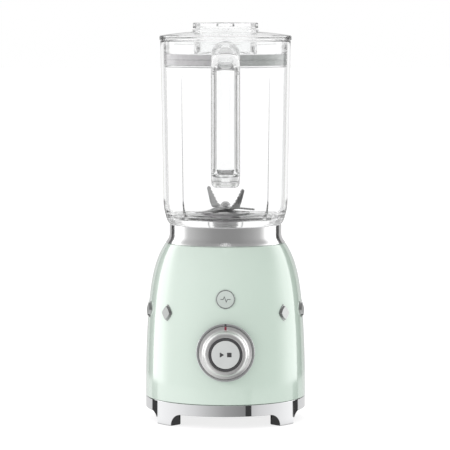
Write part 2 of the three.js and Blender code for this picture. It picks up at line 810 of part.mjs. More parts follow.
function jugVessel() {
  const cavity = plugRadius - jug.plugWall;
  const underside = jugFloor - jug.floorThickness;
  const bore = holder.barrelRadius + gap;
  const vessel = revolve([
    [cavity, jugBottom],
    [plugRadius, jugBottom],
    [plugRadius, shoulder],
    ...jugSide(0),
    ...jugInside(),
    [bore, jugFloor],
    [bore, underside],
    [cavity - 3, underside],
    [cavity, underside - 3],
  ]);
  return join(vessel, ...[jug.ribAngle, 180 - jug.ribAngle, 180 + jug.ribAngle, 360 - jug.ribAngle].map(jugRib));
}

/** One of the upright ribs that stand in from the jug's wall and stir the flow. */
function jugRib(angle) {
  const bottom = jugFloor + jug.floorCurve;
  const top = rim - jug.ribTop;
  const inner = (height) => jugRadius(height) - jug.wall;
  const band = revolve([
    [inner(bottom) - jug.ribHeight - 0.9, bottom],
    [inner(bottom) + 1, bottom],
    [inner(top) + 1, top],
    [inner(top) - 0.6, top],
    [inner(top) - jug.ribHeight, top - 4],
  ]);
  const slice = shapeOf([
    [-jug.ribWidth / 2, 0],
    [-jug.ribWidth / 5, jug.ribHeight + 0.5],
    [jug.ribWidth / 5, jug.ribHeight + 0.5],
    [jug.ribWidth / 2, 0],
  ]);
  const prism = extrude(slice, bottom - 1, top + 1)
    .translate(0, -rimRadius + jug.wall, 0)
    .rotateZ(radians(angle));
  return common(band, join(prism, prismFoot(angle, bottom, top)));
}

/** Material behind a rib, so that it runs into the tapered wall. */
const prismFoot = (angle, bottom, top) =>
  block(
    [-jug.ribWidth / 2, -rimRadius, bottom - 1],
    [jug.ribWidth / 2, -rimRadius + jug.wall + 0.01, top + 1],
  ).rotateZ(radians(angle));

/** A shape drawn as [distance from the axis, height], made as wide as the handle and turned to the front. */
const acrossHandle = (outline, width) =>
  extrude(shapeOf(outline), -width / 2, width / 2).applyMatrix4(
    new THREE.Matrix4().makeBasis(new THREE.Vector3(0, -1, 0), new THREE.Vector3(0, 0, 1), new THREE.Vector3(-1, 0, 0)),
  );

/** The handle seen from the side: a sloping bridge at the rim, an upright grip and a short foot. */
function handleLoop() {
  const root = waistRadius - 4;
  const back = handle.reach - handle.gripDepth;
  const front = handle.reach;
  const slopeEnd = handleTop - 0.55 * handle.bridge;
  const outside = [
    [root, handleTop],
    [rimRadius + 2, handleTop],
    ...bend([front - 13, slopeEnd], [front, slopeEnd - 2], [front, slopeEnd - 17]),
    ...bend([front, handleBottom + 28], [front - 1, handleBottom], [front - 24, handleBottom]),
    [root, handleBottom],
  ];
  const inside = [
    [root, handleBottom + handle.footBridge],
    ...bend([back - 10, handleBottom + handle.footBridge], [back, handleBottom + handle.footBridge],
      [back, handleBottom + handle.footBridge + 10]),
    ...bend([back, handleTop - handle.bridge - 18], [back, handleTop - handle.bridge - 6],
      [back - 14, handleTop - handle.bridge - 4]),
    [root, handleTop - handle.bridge],
  ];
  return [...outside, ...inside];
}

/** The handle seen from the front: an arch at the top and round corners at the heel. */
function handleFace() {
  const half = handle.width / 2;
  const [high, low] = [handleTop - handle.archRadius, handleBottom + handle.heelRadius];
  return [
    ...arc(half - handle.heelRadius, low, handle.heelRadius, -90, 0, 3),
    ...arc(half - handle.archRadius, high, handle.archRadius, 0, 90, 5),
    ...arc(-half + handle.archRadius, high, handle.archRadius, 90, 180, 5),
    ...arc(-half + handle.heelRadius, low, handle.heelRadius, 180, 270, 3),
  ];
}

function jugHandle() {
  const half = handle.width / 2 - handle.wall;
  const back = handle.reach - handle.gripDepth;
  const face = standing(handleFace(), 0, waistRadius - 10, handle.reach + 5);
  const gripTop = handleTop - handle.bridge - 10;
  const gripBottom = handleBottom + handle.footBridge + 4.5;
  const gripHeight = gripTop - gripBottom;
  const gripPocket = standing(
    roundedRectangle(2 * half, gripHeight, 4).map(([x, y]) => [x, y + (gripTop + gripBottom) / 2]),
    0,
    back - 1,
    handle.reach - handle.wall,
  );
  const bridgePocket = acrossHandle(
    [
      [rimRadius + 7, handleTop - handle.bridge - 12],
      [back - 3, handleTop - handle.bridge - 12],
      [back - 3, handleTop - 12.5],
      [rimRadius + 7, handleTop - 6.5],
    ],
    2 * half,
  );
  const footPocket = acrossHandle(
    [
      [rimRadius + 5, handleBottom - 1],
      [back + 4, handleBottom - 1],
      [back + 2, handleBottom + handle.footBridge - handle.wall],
      [rimRadius + 5, handleBottom + handle.footBridge - handle.wall],
    ],
    2 * half,
  );
  const vesselBlank = revolve([[0, shoulder - 5], ...jugSide(gap).slice(1), [rimRadius + gap, rim + 5], [0, rim + 5]]);
  return cut(common(acrossHandle(handleLoop(), handle.width), face), gripPocket, bridgePocket, footPocket, vesselBlank);
}

// ---------------------------------------------------------------- blade unit in the jug

const holderGasket = () => ring(holder.barrelRadius + 1, holder.flangeRadius - 1, jugFloor + gap, holderFlange - gap, smallSides);

const bladeHolder = () =>
  revolve(
    [
      [bush.outerRadius + gap, holderBottom],
      [holder.barrelRadius, holderBottom],
      [holder.barrelRadius, holderFlange],
      [holder.flangeRadius, holderFlange],
      [holder.flangeRadius, holderFlange + 0.9],
      ...bend(
        [holder.flangeRadius - 1.2, holderFlange + holder.flangeHeight],
        [holder.bossRadius + 3, holderFlange + holder.flangeHeight + 0.2],
        [holder.bossRadius, holderTop - 1],
        3,
      ),
      [holder.bossRadius - 1, holderTop],
      [shaftRadius + play, holderTop],
      [shaftRadius + play, jugFloor],
      [bush.outerRadius + gap, jugFloor],
    ],
    smallSides,
  );

const bushRing = (bottom, height) => ring(shaftRadius + gap, bush.outerRadius, bottom, bottom + height, smallSides);
const sealHeight = 3;
const sealBottom = jugFloor - gap - sealHeight;

function holderNut() {
  const top = jugFloor - jug.floorThickness - gap;
  const shape = shapeOf(lobedOutline(nut.radius - 1.2, 1.2, nut.lobes, 6));
  shape.holes.push(new THREE.Path().absarc(0, 0, holder.barrelRadius + gap, 0, 2 * Math.PI));
  return extrude(shape, top - nut.height, top, 10);
}

function drivenCoupling() {
  const socket = extrude(
    shapeOf(lobedOutline(coupling.dogRadius + play, coupling.dogLobe, coupling.lobes)),
    drivenBottom - 1,
    drivenTop - coupling.socketWall,
  );
  const bore = post(0, 0, shaftRadius + gap, drivenBottom, drivenTop + 1);
  return cut(ring(0, coupling.radius, drivenBottom, drivenTop, smallSides), socket, bore);
}

const bladeShaft = () =>
  revolve(
    [
      [0, drivenTop - coupling.socketWall + 0.2],
      [shaftRadius, drivenTop - coupling.socketWall + 0.2],
      [shaftRadius, holderTop],
      [blade.studRadius, holderTop],
      [blade.studRadius, domeNutBottom + 3],
      [0, domeNutBottom + 3],
    ],
    smallSides,
  );

/** One wing of a blade, flat, from its bend line outwards, with teeth along one edge. */
function bladeWing(length) {
  const [root, tip] = [blade.width / 2, blade.tipWidth / 2];
  const edge = (share) => root + (tip - root) * share;
  const teeth = Array.from({ length: blade.teeth }, (_, i) => {
    const [from, to] = [0.12 + (0.76 * i) / blade.teeth, 0.12 + (0.76 * (i + 0.8)) / blade.teeth];
    return [[length * from, edge(from) - blade.toothDepth], [length * to, edge(to)]];
  }).flat();
  return [
    [-1, -root],
    [length - tip, -tip],
    ...arc(length - tip, 0, tip, -60, 60, 3),
    ...teeth.reverse(),
    [0, root],
    [-1, root],
  ];
}

/** A pair of wings bent up or down from a middle plate. */
function bladePair(bottom, bendRadius, length, angle, turn) {
  const middle = join(
    ring(0, 8, bottom, bottom + blade.thickness, smallSides),
    block([-bendRadius - 0.4, -blade.width / 2, bottom], [bendRadius + 0.4, blade.width / 2, bottom + blade.thickness]),
  );
  const wings = [0, 180].map((side) =>
    extrude(shapeOf(bladeWing(length)), 0, blade.thickness)
      .rotateY(-radians(angle))
      .translate(bendRadius, 0, bottom)
      .rotateZ(radians(side)),
  );
  const stud = post(0, 0, blade.studRadius + gap, bottom - 1, bottom + blade.thickness + 1, 16);
  return cut(join(middle, ...wings), stud).rotateZ(radians(turn));
}

function domeNut() {
  const hexagon = ring(0, 4.8, domeNutBottom, domeNutBottom + 2.8, 6);
  const dome = revolve([[0, domeNutBottom + 2], ...arc(0, domeNutBottom + 2.2, 3.9, 0, 90, 3)], 12);
  return cut(join(hexagon, dome), post(0, 0, blade.studRadius + gap, domeNutBottom - 1, domeNutBottom + 3.3, 12));
}

// ---------------------------------------------------------------- lid

function lidBody() {
  const plug = rimRadius - jug.wall - 0.6;
  const flange = rimRadius + lid.overhang;
  const plugBottom = rim - lid.plug;
  const grooveTop = plugBottom + 2 + lid.groove;
  const grooveRadius = plug - 2.6;
  const inner = plug - 4.8;
  const lowerPlug = plug - 0.5;
  return revolve([
    [inner, plugBottom],
    [lowerPlug, plugBottom],
    [lowerPlug, plugBottom + 2],
    [grooveRadius, plugBottom + 2],
    [grooveRadius, grooveTop],
    [plug, grooveTop],
    [plug, lidBottom],
    [flange, lidBottom],
    [flange, lidEdge - 0.8],
    ...bend([flange - 2.6, lidEdge + 0.3], [lid.neckRadius + 14, lidTop - 0.4], [lid.neckRadius + 0.6, lidTop], 2),
    [lid.neckRadius, neckTop],
    [lid.boreRadius, neckTop],
    [lid.boreRadius, neckTop - lid.tube - lid.neckRise],
    [lid.boreRadius + lid.wall, neckTop - lid.tube - lid.neckRise],
    [lid.boreRadius + lid.wall, lidTop - 3.2],
    [inner, lidEdge - 2.6],
  ]);
}

function lidGasket() {
  const plug = rimRadius - jug.wall - 0.6;
  const bottom = rim - lid.plug + 2 + gap;
  const top = bottom + lid.groove - 2 * gap;
  const inner = plug - 2.6 + gap;
  const lip = plug - 0.2;
  const waist = lip - 0.9;
  const middle = bottom + 0.44 * (top - bottom);
  return revolve([
    [inner, bottom],
    [lip, bottom],
    [lip, middle - 1.1],
    [waist, middle - 0.6],
    [waist, middle + 0.6],
    [lip, middle + 1.1],
    [lip, top],
    [inner, top],
  ]);
}

function fillerCap() {
  const body = lid.boreRadius - play;
  const top = capFlange + 1.1 + cap.flangeHeight;
  const cup = revolve([
    [body - cap.wall, capFlange - cap.bodyDepth],
    [body, capFlange - cap.bodyDepth],
    [body, capFlange],
    [cap.flangeRadius - 1.8, capFlange],
    [cap.flangeRadius - 1.8, capFlange + 1.1],
    [cap.flangeRadius, capFlange + 1.3],
    ...arc(cap.flangeRadius - 1.6, top - 1.6, 1.6, 0, 90, 2),
    [0, top],
    [0, top - cap.top],
    [body - cap.wall, top - cap.top],
  ], knobSides);
  const notches = [-1, 1].map((side) => {
    const [low, high] = [side * (cap.flangeRadius - 3.2), side * (cap.flangeRadius + 3)].sort((a, b) => a - b);
    return block([-cap.notch / 2, low, top - 3.6], [cap.notch / 2, high, top + 1]);
  });
  return cut(cup, ...notches);
}

// ---------------------------------------------------------------- assembly

const blender = new THREE.Group();
blender.position.y = (handle.reach - shell.radius) / 2;

meshes(blender, [
  ["base_ring", baseRing(), chrome],
  ...footAngles.map((angle, i) => [`foot_pad_${i + 1}`, padBlank(angle, 0, 0, foot.padHeight), rubber]),
  ["base_plate", basePlate(), blackPlastic],
  ...screwAngles.map((angle, i) => [`base_screw_${i + 1}`, baseScrew(angle), brushedSteel]),
  ["cord_inlet", cordInlet(), rubber],
  ["body_shell", bodyShell(), paint],
  ["neck_collar", neckCollar(), chrome],
  ["jug_seat", jugSeat(), blackPlastic],
  ["seat_gasket", seatGasket(), rubber],
  ...stud.angles.map((angle, i) => [`side_stud_right_${i + 1}`, sideStud(angle), chrome]),
  ...stud.angles.map((angle, i) => [`side_stud_left_${i + 1}`, sideStud(-angle), chrome]),
  ["control_board", controlBoard(), boardGreen],
  ["motor_stator", stator(), laminations],
  ["field_coil_left", fieldCoil(-1), copper],
  ["field_coil_right", fieldCoil(1), copper],
  ["upper_bracket", upperBracketBody(), brushedSteel],
  ["lower_bracket", lowerBracketBody(), brushedSteel],
  ["upper_bearing", bearing(upperBracket - motor.bearingHeight + 1 + gap), brushedSteel],
  ["lower_bearing", bearing(lowerBracket - motor.bearingHeight + 2 + gap), brushedSteel],
  ["brush_holder_front", brushHolder(-1), brass],
  ["brush_holder_rear", brushHolder(1), brass],
  ["motor_shaft", motorShaft(), brushedSteel],
  ["rotor_core", rotorCore(), laminations],
  ["commutator", commutator(), copper],
  ["cooling_fan", coolingFan(), blackPlastic],
  ["drive_coupling", driveCoupling(), blackPlastic],
  ["jug", jugVessel(), clear],
  ["jug_handle", jugHandle(), clear],
  ["holder_gasket", holderGasket(), silicone],
  ["blade_holder", bladeHolder(), brushedSteel],
  ["holder_nut", holderNut(), greyPlastic],
  ["shaft_seal", bushRing(sealBottom, sealHeight), rubber],
  ["shaft_bush", bushRing(sealBottom - gap - bush.height, bush.height), brass],
  ["blade_shaft", bladeShaft(), brushedSteel],
  ["driven_coupling", drivenCoupling(), blackPlastic],
  [
    "lower_blade",
    bladePair(lowerBladeBottom, blade.flatBendRadius, blade.flatLength, blade.flatAngle, blade.flatTurn),
    brushedSteel,
  ],
  [
    "upper_blade",
    bladePair(upperBladeBottom, blade.bendRadius, blade.raisedLength, blade.raisedAngle, blade.raisedTurn),
    brushedSteel,
  ],
  ["dome_nut", domeNut(), brushedSteel],
  ["lid", lidBody(), clear],
  ["lid_gasket", lidGasket(), silicone],
  ["filler_cap", fillerCap(), clear],
]);

blender.add(
  meshes(knobPlace(), [
    ["knob_bezel", knobBezel(), chrome],
    ["speed_knob", speedKnob(), chrome],
    ["knob_pointer", knobPointer(), redPlastic],
    ["light_ring", lightTube(), blackPlastic],
    ["start_button", startButtonBody(), greyPlastic],
    ["selector_encoder", selectorEncoder(), blackPlastic],
  ]),
  meshes(pulsePlace(), [
    ["pulse_bezel", pulseBezel(), chrome],
    ["pulse_button", pulseButtonBody(), greyPlastic],
  ]),
);

const part = new THREE.Group();
part.add(blender);

export default part;
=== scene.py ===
"""A countertop blender: a clear jug with a lid and blades on a round enamelled motor base.

Sizes are in millimetres about the blender's own upright axis, with the front towards -Y, and
are turned into metres in the row frame when a mesh is made. The places of the pieces come from
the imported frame, so each one sits where its solid does.
"""

import logging
import math
from dataclasses import dataclass, field
from enum import Enum
from typing import Callable

import bmesh
import bpy
import numpy as np
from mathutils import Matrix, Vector


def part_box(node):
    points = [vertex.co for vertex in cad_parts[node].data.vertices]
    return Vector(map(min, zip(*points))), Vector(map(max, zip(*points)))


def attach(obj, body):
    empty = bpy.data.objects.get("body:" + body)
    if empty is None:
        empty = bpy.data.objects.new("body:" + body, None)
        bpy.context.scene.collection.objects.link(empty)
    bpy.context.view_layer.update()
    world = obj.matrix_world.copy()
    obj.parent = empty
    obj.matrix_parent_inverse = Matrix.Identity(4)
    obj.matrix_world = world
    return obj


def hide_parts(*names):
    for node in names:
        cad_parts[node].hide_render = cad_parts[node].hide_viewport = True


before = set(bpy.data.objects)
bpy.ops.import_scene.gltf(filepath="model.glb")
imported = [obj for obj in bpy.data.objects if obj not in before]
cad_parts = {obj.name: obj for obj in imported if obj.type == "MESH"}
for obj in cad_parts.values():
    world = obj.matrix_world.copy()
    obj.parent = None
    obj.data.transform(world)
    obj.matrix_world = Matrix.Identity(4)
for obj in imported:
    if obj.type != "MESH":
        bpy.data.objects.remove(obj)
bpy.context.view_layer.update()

Array = np.ndarray
Corner = tuple[float, float, float]
log = logging.getLogger("blender")

MM = 0.001
GAP = 0.3  # between the faces of parts that touch
TINY = 1e-6
FINE = 320  # sides of the largest round pieces


# ---------------------------------------------------------------- curves and outlines


def soften(corners: list[Corner], closed: bool = True, steps: int = 6) -> Array:
    """Rounds the corners of an outline.

    Each corner is (radius, height, fillet). Its arc touches both of its sides, so it starts
    fillet / tan(half the corner's angle) away from the corner on each of them.

    Args:
        corners: the outline's corners in order.
        closed: whether the last corner joins the first.
        steps: segments along each arc.

    Returns:
        The outline as an array of (radius, height) rows.
    """
    points = np.array([corner[:2] for corner in corners], float)
    count = len(points)
    rows: list[Array] = []
    for i, (point, (_, _, fillet)) in enumerate(zip(points, corners)):
        if fillet == 0 or (not closed and i in (0, count - 1)):
            rows.append(point[None])
            continue
        back, ahead = points[i - 1] - point, points[(i + 1) % count] - point
        reach = min(np.linalg.norm(back), np.linalg.norm(ahead)) * 0.49
        back, ahead = back / np.linalg.norm(back), ahead / np.linalg.norm(ahead)
        half = math.acos(float(np.clip(back @ ahead, -1, 1))) / 2
        cut = min(fillet / math.tan(half), reach)
        centre = point + (back + ahead) / np.linalg.norm(back + ahead) * cut / math.cos(half)
        first, last = point + back * cut - centre, point + ahead * cut - centre
        sweep = math.atan2(first[0] * last[1] - first[1] * last[0], first @ last)
        turn = np.linspace(0, sweep, steps + 1)[:, None]
        across = np.array([-first[1], first[0]])
        rows.append(centre + first * np.cos(turn) + across * np.sin(turn))
    return np.concatenate(rows)


def bend(start: tuple[float, float], corner: tuple[float, float], end: tuple[float, float], steps: int) -> Array:
    """Points of the parabola that leaves start towards corner and arrives at end from it."""
    t = np.linspace(0, 1, steps)[:, None]
    a, b, c = np.array(start), np.array(corner), np.array(end)
    return (1 - t) ** 2 * a + 2 * t * (1 - t) * b + t**2 * c


def plain(points: Array) -> list[Corner]:
    """Turns sampled points into corners with no fillet, to mix with filleted ones."""
    return [(float(x), float(y), 0.0) for x, y in points]


def points(*parts: Array | float) -> Array:
    """Coordinates of any fitting shapes, spread to one shape and put side by side."""
    return np.stack(np.broadcast_arrays(*parts), axis=-1)


def smooth_step(value: Array, low: float, high: float) -> Array:
    """0 below low, 1 above high, and a cubic ease between them."""
    t = np.clip((value - low) / (high - low), 0, 1)
    return t * t * (3 - 2 * t)


def revolve(outline: Array, sides: int) -> Array:
    """Turns an outline round the Z axis: x = r cos a, y = r sin a, z as it is.

    Returns:
        A grid of points, one row for each outline point and one column for each side.
    """
    angle = np.linspace(0, 2 * np.pi, sides, endpoint=False)
    radius, height = outline[:, :1], outline[:, 1:]
    return points(radius * np.cos(angle), radius * np.sin(angle), height)


def turn_outline(corners: list[Corner], sides: int) -> tuple[Array, "Joined"]:
    """Softens and turns an outline that closes on itself or runs from the axis to the axis.

    Returns:
        The grid of points, and which ways it closes.
    """
    open_ended = corners[0][0] == 0 and corners[-1][0] == 0
    return revolve(soften(corners, closed=not open_ended), sides), Joined.TUBE if open_ended else Joined.RING


def radius_of(grid: Array) -> Array:
    """Distance of each point from the axis."""
    return np.hypot(grid[..., 0], grid[..., 1])


def with_radius(grid: Array, radius: Array) -> Array:
    """The grid with each point moved straight out or in to a new distance from the axis."""
    factor = radius / np.maximum(radius_of(grid), TINY)
    return points(grid[..., 0] * factor, grid[..., 1] * factor, grid[..., 2])


def azimuth(grid: Array) -> Array:
    """Angle of each point round the axis, in degrees, 0 at the front and positive to the right."""
    return np.degrees(np.arctan2(grid[..., 0], -grid[..., 1]))


def from_ends(grid: Array) -> Array:
    """Angle of each point from the front or the back, whichever is nearer, in degrees."""
    side = np.abs(azimuth(grid))
    return np.minimum(side, 180 - side)


def turned(degrees: float) -> Array:
    """The matrix of a turn about Z."""
    c, s = math.cos(math.radians(degrees)), math.sin(math.radians(degrees))
    return np.array([[c, -s, 0], [s, c, 0], [0, 0, 1]])


# ---------------------------------------------------------------- what the frame says


@dataclass(frozen=True)
class Place:
    """Where the main parts stand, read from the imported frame, in millimetres about the axis."""

    axis_y: float
    shell_radius: float
    shell_top: float
    skirt_top: float
    collar_foot: float
    collar_top: float
    collar_radius: float
    jug_bottom: float
    rim: float
    rim_radius: float
    lid_bottom: float
    lid_top: float
    cap_bottom: float
    cap_top: float
    knob_height: float

    @classmethod
    def read(cls) -> "Place":
        """Reads the boxes of the nodes that set the main levels."""
        low, high = {}, {}
        for node in ("body_shell", "base_ring", "neck_collar", "jug", "lid", "filler_cap", "knob_bezel"):
            low[node], high[node] = (np.array(corner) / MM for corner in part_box(node))
        shell = (low["body_shell"] + high["body_shell"]) / 2
        bezel = (low["knob_bezel"] + high["knob_bezel"]) / 2
        return cls(
            axis_y=shell[1],
            shell_radius=high["body_shell"][0],
            shell_top=high["body_shell"][2],
            skirt_top=high["base_ring"][2],
            collar_foot=low["neck_collar"][2],
            collar_top=high["neck_collar"][2],
            collar_radius=high["neck_collar"][0],
            jug_bottom=low["jug"][2],
            rim=high["jug"][2],
            rim_radius=high["jug"][0],
            lid_bottom=low["lid"][2],
            lid_top=high["lid"][2],
            cap_bottom=low["filler_cap"][2],
            cap_top=high["filler_cap"][2],
            knob_height=bezel[2],
        )


PLACE = Place.read()


def span(node: str) -> tuple[float, float]:
    """Lowest and highest level of a CAD node, in millimetres."""
    low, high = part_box(node)
    return low.z / MM, high.z / MM


def centre_of(node: str) -> Array:
    """Middle of a CAD node's box, in millimetres about the axis."""
    low, high = (np.array(corner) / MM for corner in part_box(node))
    return (low + high) / 2 - np.array([0, PLACE.axis_y, 0])


# ---------------------------------------------------------------- meshes


class Joined(Enum):
    """Which ways a grid of points closes on itself."""

    TUBE = (False, True)
    RING = (True, True)
    SHEET = (False, False)


def grid_faces(rows: int, columns: int, wrap_rows: bool, wrap_columns: bool) -> Array:
    """Four corner numbers for each face between neighbours of a grid."""
    down = np.arange(rows if wrap_rows else rows - 1)[:, None]
    along = np.arange(columns if wrap_columns else columns - 1)[None]
    here, below, beside = down * columns, (down + 1) % rows * columns, (along + 1) % columns
    return points(here + along, here + beside, below + beside, below + along).reshape(-1, 4)


def places(grid: Array) -> Array:
    """The grid's points as one list, in metres in the row frame."""
    return (grid.reshape(-1, 3) + np.array([0, PLACE.axis_y, 0])) * MM


def skin(
    name: str,
    grid: Array,
    joined: Joined,
    crease: float = 38,
    cap: bool = False,
    painted_edge_shade: Array | None = None,
) -> bpy.types.Object:
    """Makes a mesh object from a grid of points, with a four-sided face between neighbours.

    Args:
        name: the piece's name.
        grid: rows by columns by 3, in millimetres about the axis.
        joined: which ways the grid closes on itself.
        crease: the angle between faces, in degrees, past which an edge stays sharp.
        cap: whether the first and last rows are closed with a face each.
        painted_edge_shade: painted shade along moulded edges, from 0 to 1 at each point, kept as the mesh's attribute
            "edge".

    Returns:
        The new object, at the origin, with its place in its mesh.
    """
    rows, columns = grid.shape[:2]
    mesh = bpy.data.meshes.new(name)
    mesh.from_pydata(places(grid), [], grid_faces(rows, columns, *joined.value).tolist())
    # Painted shade along moulded edges, kept on the points as the attribute 'edge'.
    if painted_edge_shade is not None:
        kept = mesh.attributes.new("edge", "FLOAT", "POINT")
        kept.data.foreach_set("value", painted_edge_shade.reshape(-1).astype(np.float32))
    if cap:
        work = bmesh.new()
        work.from_mesh(mesh)
        work.verts.ensure_lookup_table()
        for row in (0, rows - 1):
            work.faces.new([work.verts[row * columns + i] for i in range(columns)])
        work.to_mesh(mesh)
        work.free()
    return finish_mesh(name, mesh, crease, closed=joined is not Joined.SHEET)


def finish_mesh(name: str, mesh: bpy.types.Mesh, crease: float, closed: bool) -> bpy.types.Object:
    """Closes poles and seams, points a closed mesh's faces outwards, smooths it and links it."""
    work = bmesh.new()
    work.from_mesh(mesh)
    bmesh.ops.remove_doubles(work, verts=work.verts, dist=1e-7)
    if closed:
        bmesh.ops.recalc_face_normals(work, faces=work.faces)
    work.to_mesh(mesh)
    work.free()
    mesh.polygons.foreach_set("use_smooth", np.ones(len(mesh.polygons), bool))
    mesh.set_sharp_from_angle(angle=math.radians(crease))
    piece = bpy.data.objects.new(name, mesh)
    bpy.context.scene.collection.objects.link(piece)
    return piece


def lathe(name: str, corners: list[Corner], sides: int = 256, crease: float = 38) -> bpy.types.Object:
    """A turned piece: its outline either closes on itself or runs from the axis to the axis."""
    return skin(name, *turn_outline(corners, sides), crease)


@dataclass
class Dresser:
    """Gives finished pieces their material and body, and hides the CAD nodes that they stand for."""

    materials: dict[str, bpy.types.Material] = field(default_factory=dict)

    def put(
        self,
        piece: bpy.types.Object,
        finish: "Finish",
        body: str,
        slot: str,
        *nodes: str,
    ) -> None:
        """Dresses one piece. Clear plastic casts no shadow.

        Args:
            piece: the new object.
            finish: its finish.
            body: the body that it moves with.
            slot: the record's material slot; not used.
            nodes: the CAD nodes that it replaces.
        """
        self.dress(piece, finish)
        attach(piece, body)
        if nodes:
            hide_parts(*nodes)
        piece.visible_shadow = not isinstance(finish, Clear)
        log.info("%s rides on %s", piece.name, body)

    def carry(self, finish: "Finish", *nodes: str) -> None:
        """Gives CAD nodes that stay visible their finish."""
        for node in nodes:
            self.dress(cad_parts[node], finish)
            log.info("%s keeps its solid", node)

    def dress(self, piece: bpy.types.Object, finish: "Finish") -> None:
        """Leaves one material on an object."""
        piece.data.materials.clear()
        piece.data.materials.append(self.material(finish))

    def material(self, finish: "Finish") -> bpy.types.Material:
        """The finish's material, made once."""
        if finish.name not in self.materials:
            self.materials[finish.name] = finish.make()
        return self.materials[finish.name]


# ---------------------------------------------------------------- finishes

Socket = bpy.types.NodeSocket


class Wiring:
    """Short-hand for wiring one material's nodes."""

    def __init__(self, name: str) -> None:
        """Starts a material with its one Principled shader."""
        self.material = bpy.data.materials.new(name)
        self.material.use_nodes = True
        self.tree = self.material.node_tree
        self.shader = self.tree.nodes["Principled BSDF"]
        self.place = self.tree.nodes.new("ShaderNodeTexCoord").outputs["Object"]

    def set(self, **values: float | tuple[float, ...]) -> None:
        """Sets the shader's own sockets, named in lower case with underscores."""
        for key, value in values.items():
            socket = next(s for s in self.shader.inputs if s.name.lower().replace(" ", "_") == key)
            socket.default_value = value if isinstance(value, (int, float)) else (*value, 1.0)[:4]

    def add(self, kind: str, **settings: object) -> bpy.types.Node:
        """Adds a node with its settings."""
        node = self.tree.nodes.new("ShaderNode" + kind)
        for key, value in settings.items():
            setattr(node, key, value)
        return node

    def link(self, source: Socket, target: Socket) -> None:
        """Joins two sockets."""
        self.tree.links.new(source, target)

    def noise(self, size: float, detail: float = 2, stretch: tuple[float, float, float] = (1, 1, 1)) -> Socket:
        """Noise with grains of a size in millimetres, drawn out along each axis by stretch."""
        scale = self.add("Mapping")
        scale.inputs["Scale"].default_value = [1 / (size * MM * share) for share in stretch]
        self.link(self.place, scale.inputs["Vector"])
        texture = self.add("TexNoise")
        texture.inputs["Scale"].default_value, texture.inputs["Detail"].default_value = 1, detail
        self.link(scale.outputs[0], texture.inputs["Vector"])
        return texture.outputs[0]

    def rings(self, size: float) -> Socket:
        """Fine turning marks: noise of the distance from the upright axis."""
        parts = self.add("SeparateXYZ")
        self.link(self.place, parts.inputs[0])
        moved = self.sum("SUBTRACT", parts.outputs["Y"], PLACE.axis_y * MM)
        square = self.sum("POWER", parts.outputs["X"], 2)
        radius = self.sum("SQRT", self.sum("ADD", square, self.sum("POWER", moved, 2)))
        texture = self.add("TexNoise", noise_dimensions="1D")
        texture.inputs["Scale"].default_value = 1 / (size * MM)
        texture.inputs["Detail"].default_value = 3
        self.link(radius, texture.inputs["W"])
        return texture.outputs[0]

    def waves(self, pitch: float) -> Socket:
        """Even level ridges, a pitch in millimetres apart."""
        texture = self.add("TexWave", wave_type="BANDS", bands_direction="Z", wave_profile="SIN")
        texture.inputs["Scale"].default_value = 1 / (pitch * MM) * math.pi / 10
        self.link(self.place, texture.inputs["Vector"])
        return texture.outputs["Fac"]

    def sum(self, operation: str, first: Socket, second: Socket | float = 0.0) -> Socket:
        """One sum on sockets or numbers."""
        node = self.add("Math", operation=operation)
        self.link(first, node.inputs[0])
        if isinstance(second, (int, float)):
            node.inputs[1].default_value = second
        else:
            self.link(second, node.inputs[1])
        return node.outputs[0]

    def gloss(self, value: Socket, roughness: float, more: float) -> None:
        """Maps a texture's middle half onto the roughness, up to so much more."""
        node = self.add("MapRange")
        node.inputs["From Min"].default_value = 0.25
        node.inputs["From Max"].default_value = 0.75
        node.inputs["To Min"].default_value = roughness
        node.inputs["To Max"].default_value = roughness + more
        self.link(value, node.inputs["Value"])
        self.link(node.outputs[0], self.shader.inputs["Roughness"])

    def tint(self, value: Socket, first: tuple[float, ...], second: tuple[float, ...]) -> None:
        """Varies the base colour between two colours."""
        ramp = self.add("ValToRGB")
        ramp.color_ramp.elements[0].position, ramp.color_ramp.elements[1].position = 0.3, 0.7
        ramp.color_ramp.elements[0].color = (*first, 1)
        ramp.color_ramp.elements[1].color = (*second, 1)
        self.link(value, ramp.inputs[0])
        self.link(ramp.outputs[0], self.shader.inputs["Base Color"])

    def relief(self, height: Socket, depth: float, strength: float) -> None:
        """Adds a bump of a depth in millimetres."""
        bump = self.add("Bump")
        bump.inputs["Distance"].default_value = depth * MM
        bump.inputs["Strength"].default_value = strength
        self.link(height, bump.inputs["Height"])
        self.link(bump.outputs[0], self.shader.inputs["Normal"])


def shade(colour: tuple[float, float, float], share: float) -> tuple[float, float, float]:
    """A colour made lighter or darker by a share."""
    return tuple(min(1.0, part * share) for part in colour)


@dataclass(frozen=True)
class Finish:
    """A surface finish with a name and a colour."""

    name: str
    colour: tuple[float, float, float]
    roughness: float = 0.4

    def make(self) -> bpy.types.Material:
        """Builds the material."""
        w = Wiring(self.name)
        self.wire(w)
        return w.material

    def wire(self, w: Wiring) -> None:
        """Wires the finish's own nodes."""
        raise NotImplementedError


@dataclass(frozen=True)
class Enamel(Finish):
    """Sprayed gloss enamel under a clear coat, with the faint waviness of a sprayed film."""

    waviness: float = 0.012

    def wire(self, w: Wiring) -> None:
        """Wires the finish's own nodes."""
        w.set(coat_weight=1.0, coat_roughness=0.02, coat_ior=1.62, specular_ior_level=0.35)
        w.tint(w.noise(60, 3), shade(self.colour, 0.985), shade(self.colour, 1.01))
        w.gloss(w.noise(9, 4), self.roughness, 0.06)
        w.relief(w.noise(2.6, 1), self.waviness, 0.25)


@dataclass(frozen=True)
class Plated(Finish):
    """Polished plating with slight handling marks in its gloss."""

    marks: float = 0.04

    def wire(self, w: Wiring) -> None:
        """Wires the finish's own nodes."""
        w.set(metallic=1.0)
        w.tint(w.noise(25, 4), shade(self.colour, 0.98), self.colour)
        w.gloss(w.noise(7, 5), self.roughness, self.marks)


